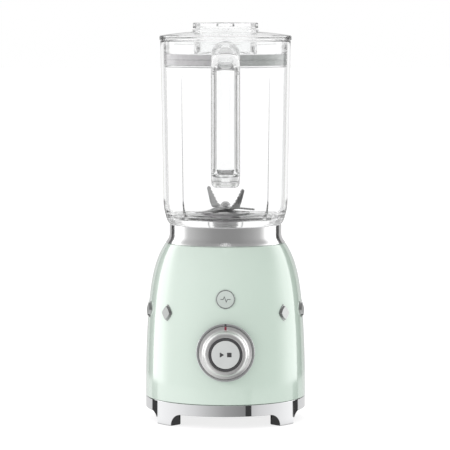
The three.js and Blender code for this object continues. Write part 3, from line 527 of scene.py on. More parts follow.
@dataclass(frozen=True)
class Brushed(Finish):
    """Steel with grinding lines drawn out along one axis of the piece."""

    stretch: tuple[float, float, float] = (1, 1, 6)
    line: float = 0.35

    def wire(self, w: Wiring) -> None:
        """Wires the finish's own nodes."""
        w.set(metallic=1.0)
        lines = w.noise(self.line, 3, self.stretch)
        w.tint(lines, shade(self.colour, 0.9), shade(self.colour, 1.05))
        w.gloss(lines, self.roughness, 0.12)
        w.relief(lines, 0.01, 0.5)


@dataclass(frozen=True)
class Turned(Finish):
    """Metal with fine circular marks about the upright axis."""

    pitch: float = 0.25

    def wire(self, w: Wiring) -> None:
        """Wires the finish's own nodes."""
        w.set(metallic=1.0)
        marks = w.rings(self.pitch)
        w.tint(marks, shade(self.colour, 0.92), shade(self.colour, 1.04))
        w.gloss(marks, self.roughness, 0.1)
        w.relief(marks, 0.006, 0.5)


@dataclass(frozen=True)
class Clear(Finish):
    """Clear moulded plastic with a trace of flow waviness."""

    def wire(self, w: Wiring) -> None:
        """Wires the finish's own nodes."""
        w.set(base_color=self.colour, transmission_weight=1.0, ior=1.46)
        w.gloss(w.noise(14, 3), self.roughness, 0.02)
        w.relief(w.noise(16, 1, (1, 1, 3)), 0.012, 0.25)


@dataclass(frozen=True)
class EdgeShadedClear(Clear):
    """Clear plastic with painted shade: its base colour turns greyer along the moulded edges marked on the mesh, in
    place of the dark lines that light draws at clear edges.
    """

    edge_shade_share: float = 0.4

    def wire(self, w: Wiring) -> None:
        """Wires the finish's own nodes."""
        super().wire(w)
        # Painted shade: the mesh's 'edge' attribute greys the base colour along moulded edges.
        edge = w.add("Attribute", attribute_name="edge").outputs["Fac"]
        w.tint(edge, self.colour, shade(self.colour, self.edge_shade_share))


@dataclass(frozen=True)
class Moulded(Finish):
    """Opaque plastic or lacquer with a fine moulded grain."""

    grain: float = 0.4
    depth: float = 0.01
    coat: float = 0.0

    def wire(self, w: Wiring) -> None:
        """Wires the finish's own nodes."""
        w.set(coat_weight=self.coat, coat_roughness=0.08)
        w.tint(w.noise(12, 4), shade(self.colour, 0.95), shade(self.colour, 1.04))
        w.gloss(w.noise(self.grain * 6, 4), self.roughness, 0.08)
        w.relief(w.noise(self.grain, 2), self.depth, 0.5)


@dataclass(frozen=True)
class Elastic(Finish):
    """Rubber or silicone: soft, dusty and slightly mottled."""

    def wire(self, w: Wiring) -> None:
        """Wires the finish's own nodes."""
        w.set(sheen_weight=0.15, sheen_roughness=0.5, specular_ior_level=0.4)
        w.tint(w.noise(6, 5), shade(self.colour, 0.88), shade(self.colour, 1.08))
        w.gloss(w.noise(2, 4), self.roughness, 0.1)
        w.relief(w.noise(0.5, 3), 0.02, 0.4)


@dataclass(frozen=True)
class Ridged(Finish):
    """Metal in even level layers or turns, such as stacked sheet or wound wire."""

    pitch: float = 0.7

    def wire(self, w: Wiring) -> None:
        """Wires the finish's own nodes."""
        w.set(metallic=1.0)
        ridges = w.waves(self.pitch)
        w.tint(w.noise(3, 4), shade(self.colour, 0.85), shade(self.colour, 1.1))
        w.gloss(ridges, self.roughness, 0.2)
        w.relief(ridges, 0.12, 0.6)


ENAMEL = Enamel("pastel_green_enamel", (0.537, 0.644, 0.566), 0.16)
CHROME = Plated("polished_chrome", (0.86, 0.865, 0.875), 0.035)
COLLAR_STEEL = Plated("polished_steel", (0.85, 0.85, 0.85), 0.14, 0.03)
SATIN_CHROME = Plated("satin_chrome", (0.96, 0.955, 0.95), 0.36, 0.05)
STUD_CHROME = Plated("dark_chrome", (0.44, 0.45, 0.445), 0.08, 0.04)
BLADE_STEEL = Brushed("ground_blade_steel", (0.4, 0.4, 0.4), 0.3, (1, 1, 8), 0.5)
HUB_STEEL = Turned("turned_steel", (0.52, 0.52, 0.52), 0.18)
MACHINED = Brushed("machined_steel", (0.62, 0.63, 0.64), 0.3)
CAST = Moulded("cast_alloy", (0.55, 0.56, 0.57), 0.45, 0.8, 0.05)
BRASS = Turned("machined_brass", (0.78, 0.6, 0.3), 0.25)
COPPER = Ridged("wound_copper", (0.72, 0.34, 0.16), 0.3)
SHEET_STACK = Ridged("stacked_sheet", (0.32, 0.33, 0.35), 0.45)
CLEAR = Clear("clear_plastic", (0.996, 0.998, 0.998), 0.0)
# Painted shade: this clear plastic's base colour is greyed along the handle's marked edges.
CLEAR_HANDLE_EDGE_SHADED = EdgeShadedClear("clear_handle_plastic", (0.996, 0.998, 0.998), 0.0)
SILICONE = Elastic("grey_silicone", (0.66, 0.69, 0.675), 0.5)
RUBBER = Elastic("black_rubber", (0.03, 0.03, 0.032), 0.7)
BLACK = Moulded("black_plastic", (0.028, 0.028, 0.03), 0.42)
DARK_RING = Moulded("smoked_light_ring", (0.055, 0.055, 0.058), 0.2, 0.4, 0.003, 0.5)
SILVER = Moulded("silver_lacquer", (0.5, 0.525, 0.51), 0.32, 0.25, 0.004, 0.3)
PULSE_SILVER = Moulded("pale_lacquer", (0.47, 0.53, 0.49), 0.32, 0.25, 0.004, 0.3)
GREY = Moulded("grey_plastic", (0.5, 0.505, 0.51), 0.4)
RED = Moulded("red_insert", (0.2, 0.012, 0.035), 0.35, 0.3, 0.004, 0.4)
INK = Moulded("dark_print", (0.05, 0.05, 0.052), 0.45, 0.2, 0.002)
BOARD = Moulded("circuit_board", (0.02, 0.14, 0.07), 0.4, 1.2, 0.03)


# ---------------------------------------------------------------- casing of the motor base


@dataclass
class Casing:
    """The enamelled shell with its two holes, the plated skirt with its feet, and the collar."""

    top_radius: float = PLACE.collar_radius + 0.1
    neck: float = 56.0
    gentle: float = 0.48
    gentle_power: float = 2.2
    sharp_power: float = 8.0
    wall: float = 1.6
    knob_hole: float = 20.4
    pulse_hole: float = 8.95
    foot_angle: float = 50.0
    foot_lift: float = 12.5
    sole_half: float = 10.5
    neck_half: float = 23.0
    sole: float = 0.5
    foot_depth: float = 14.0
    ledge: float = 4.4
    curl: float = 0.35
    stud_angles: tuple[float, ...] = (48.0, 76.0, 104.0, 132.0)
    stud_half_width: float = 7.0
    stud_half_height: float = 8.2
    stud_power: float = 1.3

    @property
    def bottom(self) -> float:
        """Height of the shell's lower edge."""
        return PLACE.skirt_top + GAP

    def radius(self, height: Array | float) -> Array:
        """Radius of the shell: a gentle power of the height, and a sharp one near the top."""
        t = np.clip((np.asarray(height) - self.bottom) / (PLACE.shell_top - self.bottom), 0, 1)
        taper = self.gentle * t**self.gentle_power + (1 - self.gentle) * t**self.sharp_power
        return PLACE.shell_radius - (PLACE.shell_radius - self.top_radius) * taper

    def lean(self, height: float) -> float:
        """How far the shell's outward normal tips up at a height, in radians."""
        return math.atan(float(self.radius(height - 1) - self.radius(height + 1)) / 2)

    def shell(self) -> bpy.types.Object:
        """The shell as one sheet with a rolled lip at both edges, thickened inwards."""
        heights = np.linspace(self.bottom + 1.2, PLACE.shell_top - 1.2, 96)
        side = points(self.radius(heights), heights)
        outline = soften(
            [
                (PLACE.shell_radius - 2.2, self.bottom + 0.5, 0), (PLACE.shell_radius - 0.1, self.bottom, 0.7),
                *plain(side), (self.top_radius - 0.2, PLACE.shell_top, 0.9),
                (self.neck + 0.5, PLACE.shell_top, 0.8), (self.neck + 0.5, PLACE.shell_top - 2, 0),
            ],
            closed=False,
        )
        grid = revolve(outline, FINE)
        keep = np.ones(grid.shape[:2], bool)
        for height, radius in ((PLACE.knob_height, self.knob_hole), (pulse_height(), self.pulse_hole)):
            grid, keep = self.punch(grid, keep, height, radius)
        piece = self.sheet_with_holes("enamel_shell", grid, keep)
        solid = piece.modifiers.new("wall", "SOLIDIFY")
        solid.thickness = self.wall * MM
        solid.offset = -1
        return piece

    def punch(self, grid: Array, keep: Array, height: float, radius: float) -> tuple[Array, Array]:
        """Opens a round hole in the front of a grid.

        Points nearer to the hole's centre than its radius, measured across and up, move out to
        its edge along the line from the centre, and are marked so that faces between them go.

        Returns:
            The new grid, and the points that stay outside every hole.
        """
        across, up = grid[..., 0], (grid[..., 2] - height) / math.cos(self.lean(height))
        away = np.hypot(across, up)
        inside = (away < radius) & (grid[..., 1] < 0)
        share = np.where(inside, radius / np.maximum(away, TINY), 1.0)
        new_x = across * share
        new_z = np.where(inside, height + up * share * math.cos(self.lean(height)), grid[..., 2])
        new_y = np.where(inside, -np.sqrt(np.maximum(self.radius(new_z) ** 2 - new_x**2, 0)), grid[..., 1])
        return points(new_x, new_y, new_z), keep & ~inside

    @staticmethod
    def sheet_with_holes(name: str, grid: Array, keep: Array) -> bpy.types.Object:
        """Makes a mesh of a revolved sheet, leaving out the faces whose corners all moved."""
        faces = grid_faces(*grid.shape[:2], *Joined.TUBE.value)
        faces = faces[keep.reshape(-1)[faces].any(axis=1)]
        used, faces = np.unique(faces, return_inverse=True)
        mesh = bpy.data.meshes.new(name)
        mesh.from_pydata(places(grid)[used], [], faces.reshape(-1, 4).tolist())
        return finish_mesh(name, mesh, 50, closed=False)

    def skirt(self) -> bpy.types.Object:
        """The plated skirt and its four feet as one closed band.

        At each angle the section is a closed loop: down the outer side, across the lower edge,
        up the inner side and over the top. The lower edge drops to the sole at each foot along
        a quarter ellipse, and meets the outer side in a small quarter circle.
        """
        angles, edge = self.lower_edge()
        radius = PLACE.shell_radius - 0.2
        share = (self.foot_lift - edge) / (self.foot_lift - self.sole)
        top = PLACE.skirt_top
        rise = (np.linspace(1, 0, 28) ** 2.2)[:, None] * (top - edge)
        circle = self.curl - np.sqrt(np.maximum(self.curl**2 - np.maximum(self.curl - rise, 0) ** 2, 0))
        outer = radius - circle
        inner_edge = radius - self.ledge - share * (self.foot_depth - self.ledge)
        step = self.foot_lift + 2.6
        inner = [
            (inner_edge + 1.0, edge), (inner_edge, edge + 0.6), (inner_edge, step), (radius - 3.6, step + 0.6),
            (radius - 2.6, top), (radius - 0.3, top),
        ]
        corners = [points(*corner, edge)[None, :, :2] for corner in inner]
        section = np.concatenate([points(outer, edge + rise), *corners])
        section[0, :, 1] -= 0.3
        around = points(np.sin(angles), -np.cos(angles))
        grid = np.concatenate([section[..., :1] * around, section[..., 1:]], axis=-1)
        return skin("skirt_and_feet", grid, Joined.RING, crease=42)

    def lower_edge(self) -> tuple[Array, Array]:
        """Angles round the skirt, closer together at the feet, and the lower edge's height there."""
        radius = PLACE.shell_radius
        t = np.linspace(0, np.pi / 2, 18)
        reach = self.neck_half - self.sole_half
        side = self.neck_half - reach * np.cos(t)
        drop = self.sole + (self.foot_lift - self.sole) * np.sin(t)
        across = np.concatenate([-side[::-1], np.linspace(-self.sole_half, self.sole_half, 11)[1:-1], side])
        height = np.concatenate([drop[::-1], np.full(9, self.sole), drop])
        foot = np.arcsin(across / radius)
        angles, heights = [], []
        centres = np.radians([self.foot_angle, 180 - self.foot_angle, 180 + self.foot_angle, 360 - self.foot_angle])
        for centre, following in zip(centres, np.append(centres[1:], centres[0] + 2 * np.pi)):
            plain_run = np.linspace(centre + foot[-1], following + foot[0], 40)[1:-1]
            angles += [centre + foot, plain_run]
            heights += [height, np.full(len(plain_run), self.foot_lift)]
        return np.concatenate(angles), np.concatenate(heights)

    def collar(self) -> bpy.types.Object:
        """The steel collar: upright at the neck, flared where it meets the shell."""
        neck, foot, low = self.neck, PLACE.collar_radius, PLACE.shell_top + GAP
        flare = bend((foot, low + 0.5), (neck + 0.5, low + 3.6), (neck, low + 8), 16)
        return lathe(
            "neck_collar_steel",
            [
                (neck - 1.5, PLACE.collar_foot, 0.2), (neck, PLACE.collar_foot, 0.2), (neck, low, 0),
                (foot - 0.3, low, 0.25), *plain(flare), (neck, PLACE.collar_top, 0.6),
                (neck - 1.5, PLACE.collar_top, 0.5),
            ],
            sides=FINE,
        )

    def seat(self) -> bpy.types.Object:
        """The grey seat inside the collar that carries the jug, with a well for the drive dog."""
        low, high = span("jug_seat")
        outer, hub = 54.2, 22.0
        return lathe(
            "jug_seat_tray",
            [
                (hub - 2.4, low, 0.3), (60.0, low, 0.5), (60.0, high - 5.1, 0.5), (outer, high - 5.1, 0.3),
                (outer, high, 0.4), (outer - 12, high, 0.8), (outer - 12, low + 3, 1.2), (hub, low + 3, 1.2),
                (hub, high - 1, 0.8), (hub - 2.4, high - 1, 0.8),
            ],
        )

    def seat_ring(self) -> bpy.types.Object:
        """The rubber ring that the jug presses on."""
        low, high = span("seat_gasket")
        return lathe("seat_ring", [(45.2, low, 0.3), (53.2, low, 0.3), (53.2, high, 0.7), (45.2, high, 0.7)])

    def stud(self, side: str, number: int) -> bpy.types.Object:
        """A plain plated lozenge on the shell's side, with softened bevels.

        Each level of the lozenge is the curve |x/a|^p + |z/b|^p = 1 with p between 1 and 2, and
        the levels shrink as they rise from the shell to the flat face.
        """
        node = f"side_stud_{side}_{number}"
        angle = self.stud_angles[number - 1] * (1 if side == "right" else -1)
        height = float(centre_of(node)[2])
        levels = np.array(
            [(1.0, -0.7), (1.0, 0.5), (0.97, 0.7), (0.88, 0.75), (0.86, 0.9), (0.8, 2.35), (0.76, 2.6), (0.0, 2.6)]
        )
        turn = np.linspace(0, 2 * np.pi, 96, endpoint=False)
        power = 2 / self.stud_power
        across = self.stud_half_width * np.sign(np.cos(turn)) * np.abs(np.cos(turn)) ** power
        up = self.stud_half_height * np.sign(np.sin(turn)) * np.abs(np.sin(turn)) ** power
        scale, proud = levels[:, :1], levels[:, 1:]
        flat = points(scale * across, -(float(self.radius(height)) + proud), height + scale * up)
        flat[..., 1] += np.tan(self.lean(height)) * scale * up
        return skin(f"{node}_plated", flat @ turned(angle).T, Joined.TUBE, crease=30)

    def build(self, dresser: Dresser) -> None:
        """Makes and dresses the casing's pieces."""
        dresser.put(self.shell(), ENAMEL, "base", "enamel", "body_shell")
        dresser.put(self.skirt(), CHROME, "base", "chrome", "base_ring")
        dresser.put(self.collar(), COLLAR_STEEL, "base", "chrome", "neck_collar")
        dresser.put(self.seat(), GREY, "base", "grey", "jug_seat")
        dresser.put(self.seat_ring(), RUBBER, "base", "rubber", "seat_gasket")
        for side in ("right", "left"):
            for number in (1, 2, 3, 4):
                dresser.put(self.stud(side, number), STUD_CHROME, "base", "chrome", f"side_stud_{side}_{number}")
        dresser.carry(RUBBER, "foot_pad_1", "foot_pad_2", "foot_pad_3", "foot_pad_4", "cord_inlet")
        dresser.carry(BLACK, "base_plate")
        dresser.carry(MACHINED, "base_screw_1", "base_screw_2", "base_screw_3")


def pulse_height() -> float:
    """Height of the middle of the pulse button."""
    return float(centre_of("pulse_bezel")[2]) - 0.45


# ---------------------------------------------------------------- controls


@dataclass
class Controls:
    """The speed knob with its bezel, pointer, light ring and start button, and the pulse button."""

    casing: Casing
    ring_inner: float = 16.5
    ring_base: float = 26.0
    bezel: float = 28.6
    bezel_proud: float = 5.0
    proud: float = 20.4
    ink: float = 0.04
    light_outer: float = 16.2
    light_inner: float = 14.2
    button: float = 13.8

    def facing(self, grid: Array, height: float, lean: float) -> Array:
        """Stands a grid that was drawn about +Z on the shell's front at a height, leaning back."""
        c, s = math.cos(lean), math.sin(lean)
        turn = np.array([[1, 0, 0], [0, s, -c], [0, c, s]])
        return grid @ turn.T + np.array([0, -float(self.casing.radius(height)), height])

    def round_piece(
        self,
        name: str,
        corners: list[Corner],
        height: float,
        lean: float = 0.0,
        sides: int = 192,
        change: Callable[[Array], Array] | None = None,
    ) -> bpy.types.Object:
        """A turned piece that faces forwards, with an optional change to its grid."""
        grid, joined = turn_outline(corners, sides)
        return skin(name, self.facing(change(grid) if change else grid, height, lean), joined)

    def bezel_ring(self) -> bpy.types.Object:
        """The plated ring round the knob, seated on the curved shell.

        The points of its back follow the shell: each drops by the shell's own fall at its place.
        """

        def seat(grid: Array) -> Array:
            """Lowers the back of the ring onto the shell."""
            across, up, proud = np.moveaxis(grid, -1, 0)
            radius = self.casing.radius(PLACE.knob_height + up)
            fall = float(self.casing.radius(PLACE.knob_height)) - np.sqrt(radius**2 - across**2)
            return points(across, up, np.where(proud < 0.5, proud - fall, proud))

        outer, inner, top = self.bezel, self.bezel - 2.1, self.bezel_proud
        corners = [(inner, 0.1, 0), (outer, 0.1, 0), (outer, top, 0.55), (inner, top, 0.35), (inner, 3.0, 0)]
        return self.round_piece("knob_bezel_ring", corners, PLACE.knob_height, sides=256, change=seat)

    def knob(self) -> bpy.types.Object:
        """The knob's ring: a stepped skirt, a shoulder and a crowned face round the button."""
        crown = bend((22.1, 12.2), (21.9, 18.2), (19.2, 20.1), 10)
        corners = [
            (self.ring_inner, -6, 0), (19.3, -6, 0), (19.3, 1.0, 0.4), (self.ring_base, 1.0, 0.4),
            (self.ring_base, 5.7, 0.5), (23.2, 7.0, 0.6), (22.7, 9.6, 0.6), (22.1, 10.6, 0.5), *plain(crown),
            (17.4, self.proud, 0.4), (self.ring_inner, self.proud - 0.5, 0.3),
        ]
        return self.round_piece("knob_ring", corners, PLACE.knob_height, sides=256)

    def light(self) -> bpy.types.Object:
        """The smoked light ring between the knob and the button."""
        corners = [
            (self.light_inner, -14, 0), (self.light_outer, -14, 0), (self.light_outer, self.proud - 0.1, 0.4),
            (self.light_inner, self.proud - 0.1, 0.4),
        ]
        return self.round_piece("light_ring_smoked", corners, PLACE.knob_height)

    def start(self) -> bpy.types.Object:
        """The start button: a nearly flat cap on a short stem."""
        corners = [
            (0, -8, 0), (4, -8, 0.3), (4, 17.6, 0), (self.button, 17.6, 0.3),
            (self.button, self.proud + 0.5, 0.6), (0, self.proud + 0.55, 0),
        ]
        return self.round_piece("start_button_cap", corners, PLACE.knob_height)

    def pulse_ring(self) -> bpy.types.Object:
        """The thin dark-edged ring round the pulse button."""
        height = pulse_height()
        corners = [
            (8.65, -5.5, 0), (8.85, -5.5, 0), (8.85, 0.1, 0),
            (9.3, 0.15, 0.1), (9.3, 0.55, 0.2), (8.65, 0.7, 0.25),
        ]
        return self.round_piece("pulse_ring", corners, height, self.casing.lean(height))

    def pulse(self) -> bpy.types.Object:
        """The pulse button."""
        height = pulse_height()
        corners = [(0, -6.0, 0), (3, -6.0, 0.2), (3, -2.4, 0), (8.4, -2.4, 0.3), (8.4, 0.95, 0.5), (0, 1.1, 0)]
        return self.round_piece("pulse_button_cap", corners, height, self.casing.lean(height))

    def inlay(self, name: str, outline: Array, base: float, height: float, lean: float = 0.0) -> bpy.types.Object:
        """A flat printed mark: an outline in the face's own plane, raised by the ink's thickness."""
        levels = base + np.array([-0.05, self.ink])[:, None]
        return skin(name, self.facing(points(*outline.T, levels), height, lean), Joined.TUBE, cap=True)

    def marks(self) -> list[tuple[bpy.types.Object, str]]:
        """Generic marks and their bodies: a triangle and a square for start and stop, and a pulse line."""
        face = self.proud + 0.56
        triangle = soften([(-5.6, -2.6, 0.3), (-1.3, 0, 0.3), (-5.6, 2.6, 0.3)])
        square = soften([(1.5, -2.2, 0.4), (5.9, -2.2, 0.4), (5.9, 2.2, 0.4), (1.5, 2.2, 0.4)])
        line = np.array([(-5, 0), (-2.2, 0), (-1.2, 2.6), (0.7, -2.6), (1.9, 0), (5, 0)], float)
        height = pulse_height()
        return [
            (self.inlay("start_mark", triangle, face, PLACE.knob_height), "start_unit"),
            (self.inlay("stop_mark", square, face, PLACE.knob_height), "start_unit"),
            (self.inlay("pulse_mark", ribbon(line, 0.55), 1.1, height, self.casing.lean(height)), "pulse_unit"),
        ]

    def pointer(self) -> bpy.types.Object:
        """The red pointer set into the knob's skirt at the top."""
        slope = np.array([(25.8, 5.4), (25.8, 6.2), (23.4, 7.4), (22.6, 9.8), (22.2, 10.2), (22.2, 6.5)])
        grid = points(np.array([-1.0, 1.0])[:, None], *slope.T)
        return skin("knob_pointer_red", self.facing(grid, PLACE.knob_height, 0), Joined.TUBE, cap=True)

    def index(self) -> bpy.types.Object:
        """The black index on the bezel, above the pointer."""
        low, high, half = self.bezel - 1.95, self.bezel - 0.3, 0.95
        outline = soften([(-half, low, 0.1), (half, low, 0.1), (half, high, 0.1), (-half, high, 0.1)])
        return self.inlay("bezel_index", outline, self.bezel_proud + 0.02, PLACE.knob_height)

    def build(self, dresser: Dresser) -> None:
        """Makes and dresses the controls."""
        dresser.put(self.bezel_ring(), CHROME, "base", "chrome", "knob_bezel")
        dresser.put(self.knob(), SATIN_CHROME, "knob_unit", "chrome", "speed_knob")
        dresser.put(self.pointer(), RED, "knob_unit", "red", "knob_pointer")
        dresser.put(self.index(), INK, "base", "black")
        dresser.put(self.light(), DARK_RING, "base", "black", "light_ring")
        dresser.put(self.start(), SILVER, "start_unit", "grey", "start_button")
        dresser.put(self.pulse_ring(), CHROME, "base", "chrome", "pulse_bezel")
        dresser.put(self.pulse(), PULSE_SILVER, "pulse_unit", "grey", "pulse_button")
        for piece, body in self.marks():
            dresser.put(piece, INK, body, "black")


def ribbon(line: Array, width: float) -> Array:
    """A closed outline half the width to each side of a broken line, mitred at its corners."""
    ahead = np.diff(line, axis=0)
    ahead /= np.linalg.norm(ahead, axis=1)[:, None]
    before, after = np.vstack([ahead[:1], ahead]), np.vstack([ahead, ahead[-1:]])
    middle = before + after
    middle /= np.linalg.norm(middle, axis=1)[:, None]
    normal = points(-middle[:, 1], middle[:, 0])
    reach = width / 2 / np.maximum((middle * after).sum(axis=1), 0.4)[:, None]
    return np.vstack([line + normal * reach, (line - normal * reach)[::-1]])


# ---------------------------------------------------------------- jug


@dataclass
class Jug:
    """The clear jug with its stirring ribs, and its hollow clear handle."""

    wall: float = 3.0
    plug: float = 53.5
    cavity: float = 50.3
    waist: float = 62.2
    curve: float = 23.0
    floor_rise: float = 6.4
    floor: float = 4.0
    bore: float = 13.3
    rib_angle: float = 47.0
    rib_height: float = 1.2
    handle_half: float = 14.1
    handle_reach: float = 117.0
    handle_wall: float = 3.5

    @property
    def shoulder(self) -> float:
        """Height at which the jug steps out over the collar."""
        return PLACE.collar_top + GAP

    @property
    def floor_top(self) -> float:
        """Height of the floor's upper side."""
        return self.shoulder + self.floor_rise

    def vessel(self) -> bpy.types.Object:
        """The jug's wall, floor and plug as one closed outline, with ribs pushed in from the wall.

        A rib is a crest and a broad flute added to the inner side: two bell curves of the angle
        from its middle, faded in over the floor's curve and out below the lid.
        """
        low, rim, waist_height = PLACE.jug_bottom, PLACE.rim, self.shoulder + self.curve
        inner = self.waist - self.wall
        outside = bend((57.7, self.shoulder + 1.8), (61.9, self.shoulder + 11.5), (self.waist, waist_height), 18)
        inside = bend((inner - 0.9, self.floor_top + 11), (inner - 2.4, self.floor_top), (45.8, self.floor_top), 18)
        outer_corners = [
            (self.cavity, low, 0.8), (self.plug, low, 0.8), (self.plug, self.shoulder, 0.3),
            (55.8, self.shoulder, 0.4), *plain(outside),
            *plain(np.linspace([self.waist, waist_height], [PLACE.rim_radius, rim], 24)[1:-1]),
            (PLACE.rim_radius, rim, 1.1),
        ]
        inner_corners = [
            (PLACE.rim_radius - self.wall, rim, 1.1),
            *plain(np.linspace([PLACE.rim_radius - self.wall, rim - 3], [inner, waist_height], 64)),
            *plain(inside), (self.bore, self.floor_top, 0.4), (self.bore, self.floor_top - self.floor, 0.4),
            (self.cavity - 3, self.floor_top - self.floor, 0),
            (self.cavity, self.floor_top - self.floor - 3, 1.5),
        ]
        outline = soften([*outer_corners, *inner_corners])
        grid = revolve(outline, 360)
        first_inner = len(soften([(0, 0, 0), *outer_corners, (0, 0, 0)], closed=False)) + 5
        is_inner = (np.arange(len(outline)) >= first_inner)[:, None] & (grid[..., 2] > self.floor_top - 0.5)
        return skin("jug_clear", self.push_ribs(grid, is_inner), Joined.RING)

    def push_ribs(self, grid: Array, where: Array) -> Array:
        """Moves the inner side of the wall inwards at the four ribs."""
        side = from_ends(grid) - self.rib_angle
        crest = np.exp(-((side / 4.2) ** 2)) + 0.3 * np.exp(-((side / 9.0) ** 2))
        radius = radius_of(grid)
        fade = smooth_step(radius, 43, 54) * (1 - smooth_step(grid[..., 2], PLACE.rim - 34, PLACE.rim - 27))
        return with_radius(grid, radius - self.rib_height * crest * fade * where)

    def handle_lines(self) -> tuple[Array, Array, Array]:
        """The handle's outer and inner lines seen from the side, station by station.

        Returns:
            Points (reach, height) of the outer line, of the inner line, and each station's
            place along the handle: 0 to 1 the bridge, 1 to 2 its corner, 2 to 3 the grip,
            3 to 4 the lower corner and 4 to 5 the foot.
        """
        top, reach = PLACE.rim - 0.4, self.handle_reach
        back, bottom = reach - 20, PLACE.rim - 141
        jug_top, jug_foot = PLACE.rim_radius - 1.2, self.waist - 0.6
        counts = (26, 26, 60, 26, 20)
        straight = [
            ((jug_top, top), (104, top - 9.4), (jug_top - 1, top - 17), (85, top - 21)),
            ((reach, top - 24), (reach, bottom + 26), (back, top - 34), (back, bottom + 24)),
            ((94, bottom), (jug_foot, bottom), (86, bottom + 14), (jug_foot, bottom + 14)),
        ]
        corners = [((reach, top - 12), (back, top - 23)), ((reach, bottom), (back, bottom + 14))]
        outer, inner = [], []
        for i, (a, b, c, d) in enumerate(straight):
            outer.append(np.linspace(a, b, counts[2 * i], endpoint=False))
            inner.append(np.linspace(c, d, counts[2 * i], endpoint=False))
            if i < 2:
                far, near = corners[i]
                outer.append(bend(b, far, straight[i + 1][0], counts[2 * i + 1] + 1)[:-1])
                inner.append(bend(d, near, straight[i + 1][2], counts[2 * i + 1] + 1)[:-1])
        station = np.concatenate([i + np.linspace(0, 1, n, endpoint=False) for i, n in enumerate(counts)])
        return np.concatenate(outer), np.concatenate(inner), station

    def pocket(self, station: Array, length: Array) -> tuple[Array, Array, Array]:
        """How far the hollow in the handle's back is open at each station, how wide it is, and the weight of the
        painted shade near its ends.

        The hollow is three pockets. Each closes over a short ramp at its ends, where its sides
        draw together as a quarter circle.
        """
        spans = ((0.1, 0.94, 3.0), (1.62, 3.4, 8.0), (4.0, 4.92, 3.0))
        depth, width, ends = np.zeros_like(station), np.zeros_like(station), np.zeros_like(station)
        for start, end, corner in spans:
            first, last = np.interp([start, end], station, length)
            near = np.minimum(length - first, last - length)
            draw = np.clip(near / corner, 0, 1)
            width = np.maximum(width, (1 - (1 - np.sqrt(1 - (1 - draw) ** 2)) * corner / 10.6) * (near > 0))
            depth = np.maximum(depth, smooth_step(near, -0.1, 1.3))
            # Painted shade weight near each pocket's ends.
            ends = np.maximum(ends, 1 - smooth_step(np.abs(near - 0.6), 0.9, 2.4))
        return depth, width, ends

    def handle(self) -> bpy.types.Object:
        """The handle as a bar whose section is a round-cornered block with a hollow back.

        A point of the section is given by its distance across and its depth from the outer
        line, which becomes a share of the way to the inner line.
        """
        outer, inner, station = self.handle_lines()
        depth_here = np.linalg.norm(inner - outer, axis=1)
        length = np.concatenate([[0], np.cumsum(np.linalg.norm(np.diff(outer, axis=0), axis=1))])
        opening, spread, ends = self.pocket(station, length)
        half, wall = self.handle_half, self.handle_wall
        corner = np.interp(station, [0, 1.0, 1.8, 3.4, 5], [12.6, 12.0, 7.0, 6.0, 6.0])[:, None]
        turn = np.linspace(0, np.pi / 2, 9)[None]
        right = points(half - corner + corner * np.cos(turn), corner - corner * np.sin(turn))
        full = depth_here[:, None]
        lip, hollow = 0.7, (half - wall) * (0.25 + 0.75 * spread)[:, None]
        floor = wall + (full - wall) * (1 - opening)[:, None]
        soft = np.minimum(2.4, (full - floor) * 0.4)

        mirror = np.array([-1, 1])
        side = [points(half - lip, full), points(half, full - lip)]
        inside = [(hollow, full), (hollow, floor + soft), (hollow - soft, floor), (hollow * 0.5, floor)]
        inside = [points(*corner) for corner in inside]
        section = np.concatenate(
            [
                *side, right, right[:, ::-1] * mirror, *[part * mirror for part in side[::-1]],
                *[part * mirror for part in inside], *inside[::-1],
            ],
            axis=1,
        )
        share = section[..., 1] / full
        side_view = outer[:, None] * (1 - share[..., None]) + inner[:, None] * share[..., None]
        grid = points(section[..., 0], -side_view[..., 0], side_view[..., 1])
        # Painted shade: the points at the hollow's edges, fading in with the opening, and the pocket ends get a
        # greyer base colour, standing in for the dark lines seen along clear edges.
        edge_shade_points = np.array([1, 1, 0, 0, 0, 0, 1, 1])
        painted_edge_shade = np.zeros(grid.shape[:2])
        painted_edge_shade[:, -8:] = np.maximum(edge_shade_points * opening[:, None], 0.45 * ends[:, None])
        return skin("jug_handle_clear", grid, Joined.TUBE, crease=40, cap=True, painted_edge_shade=painted_edge_shade)

    def build(self, dresser: Dresser) -> None:
        """Makes and dresses the jug's pieces."""
        dresser.put(self.vessel(), CLEAR, "jug_unit", "clear", "jug")
        dresser.put(self.handle(), CLEAR_HANDLE_EDGE_SHADED, "jug_unit", "clear", "jug_handle")


# ---------------------------------------------------------------- lid and filler cap


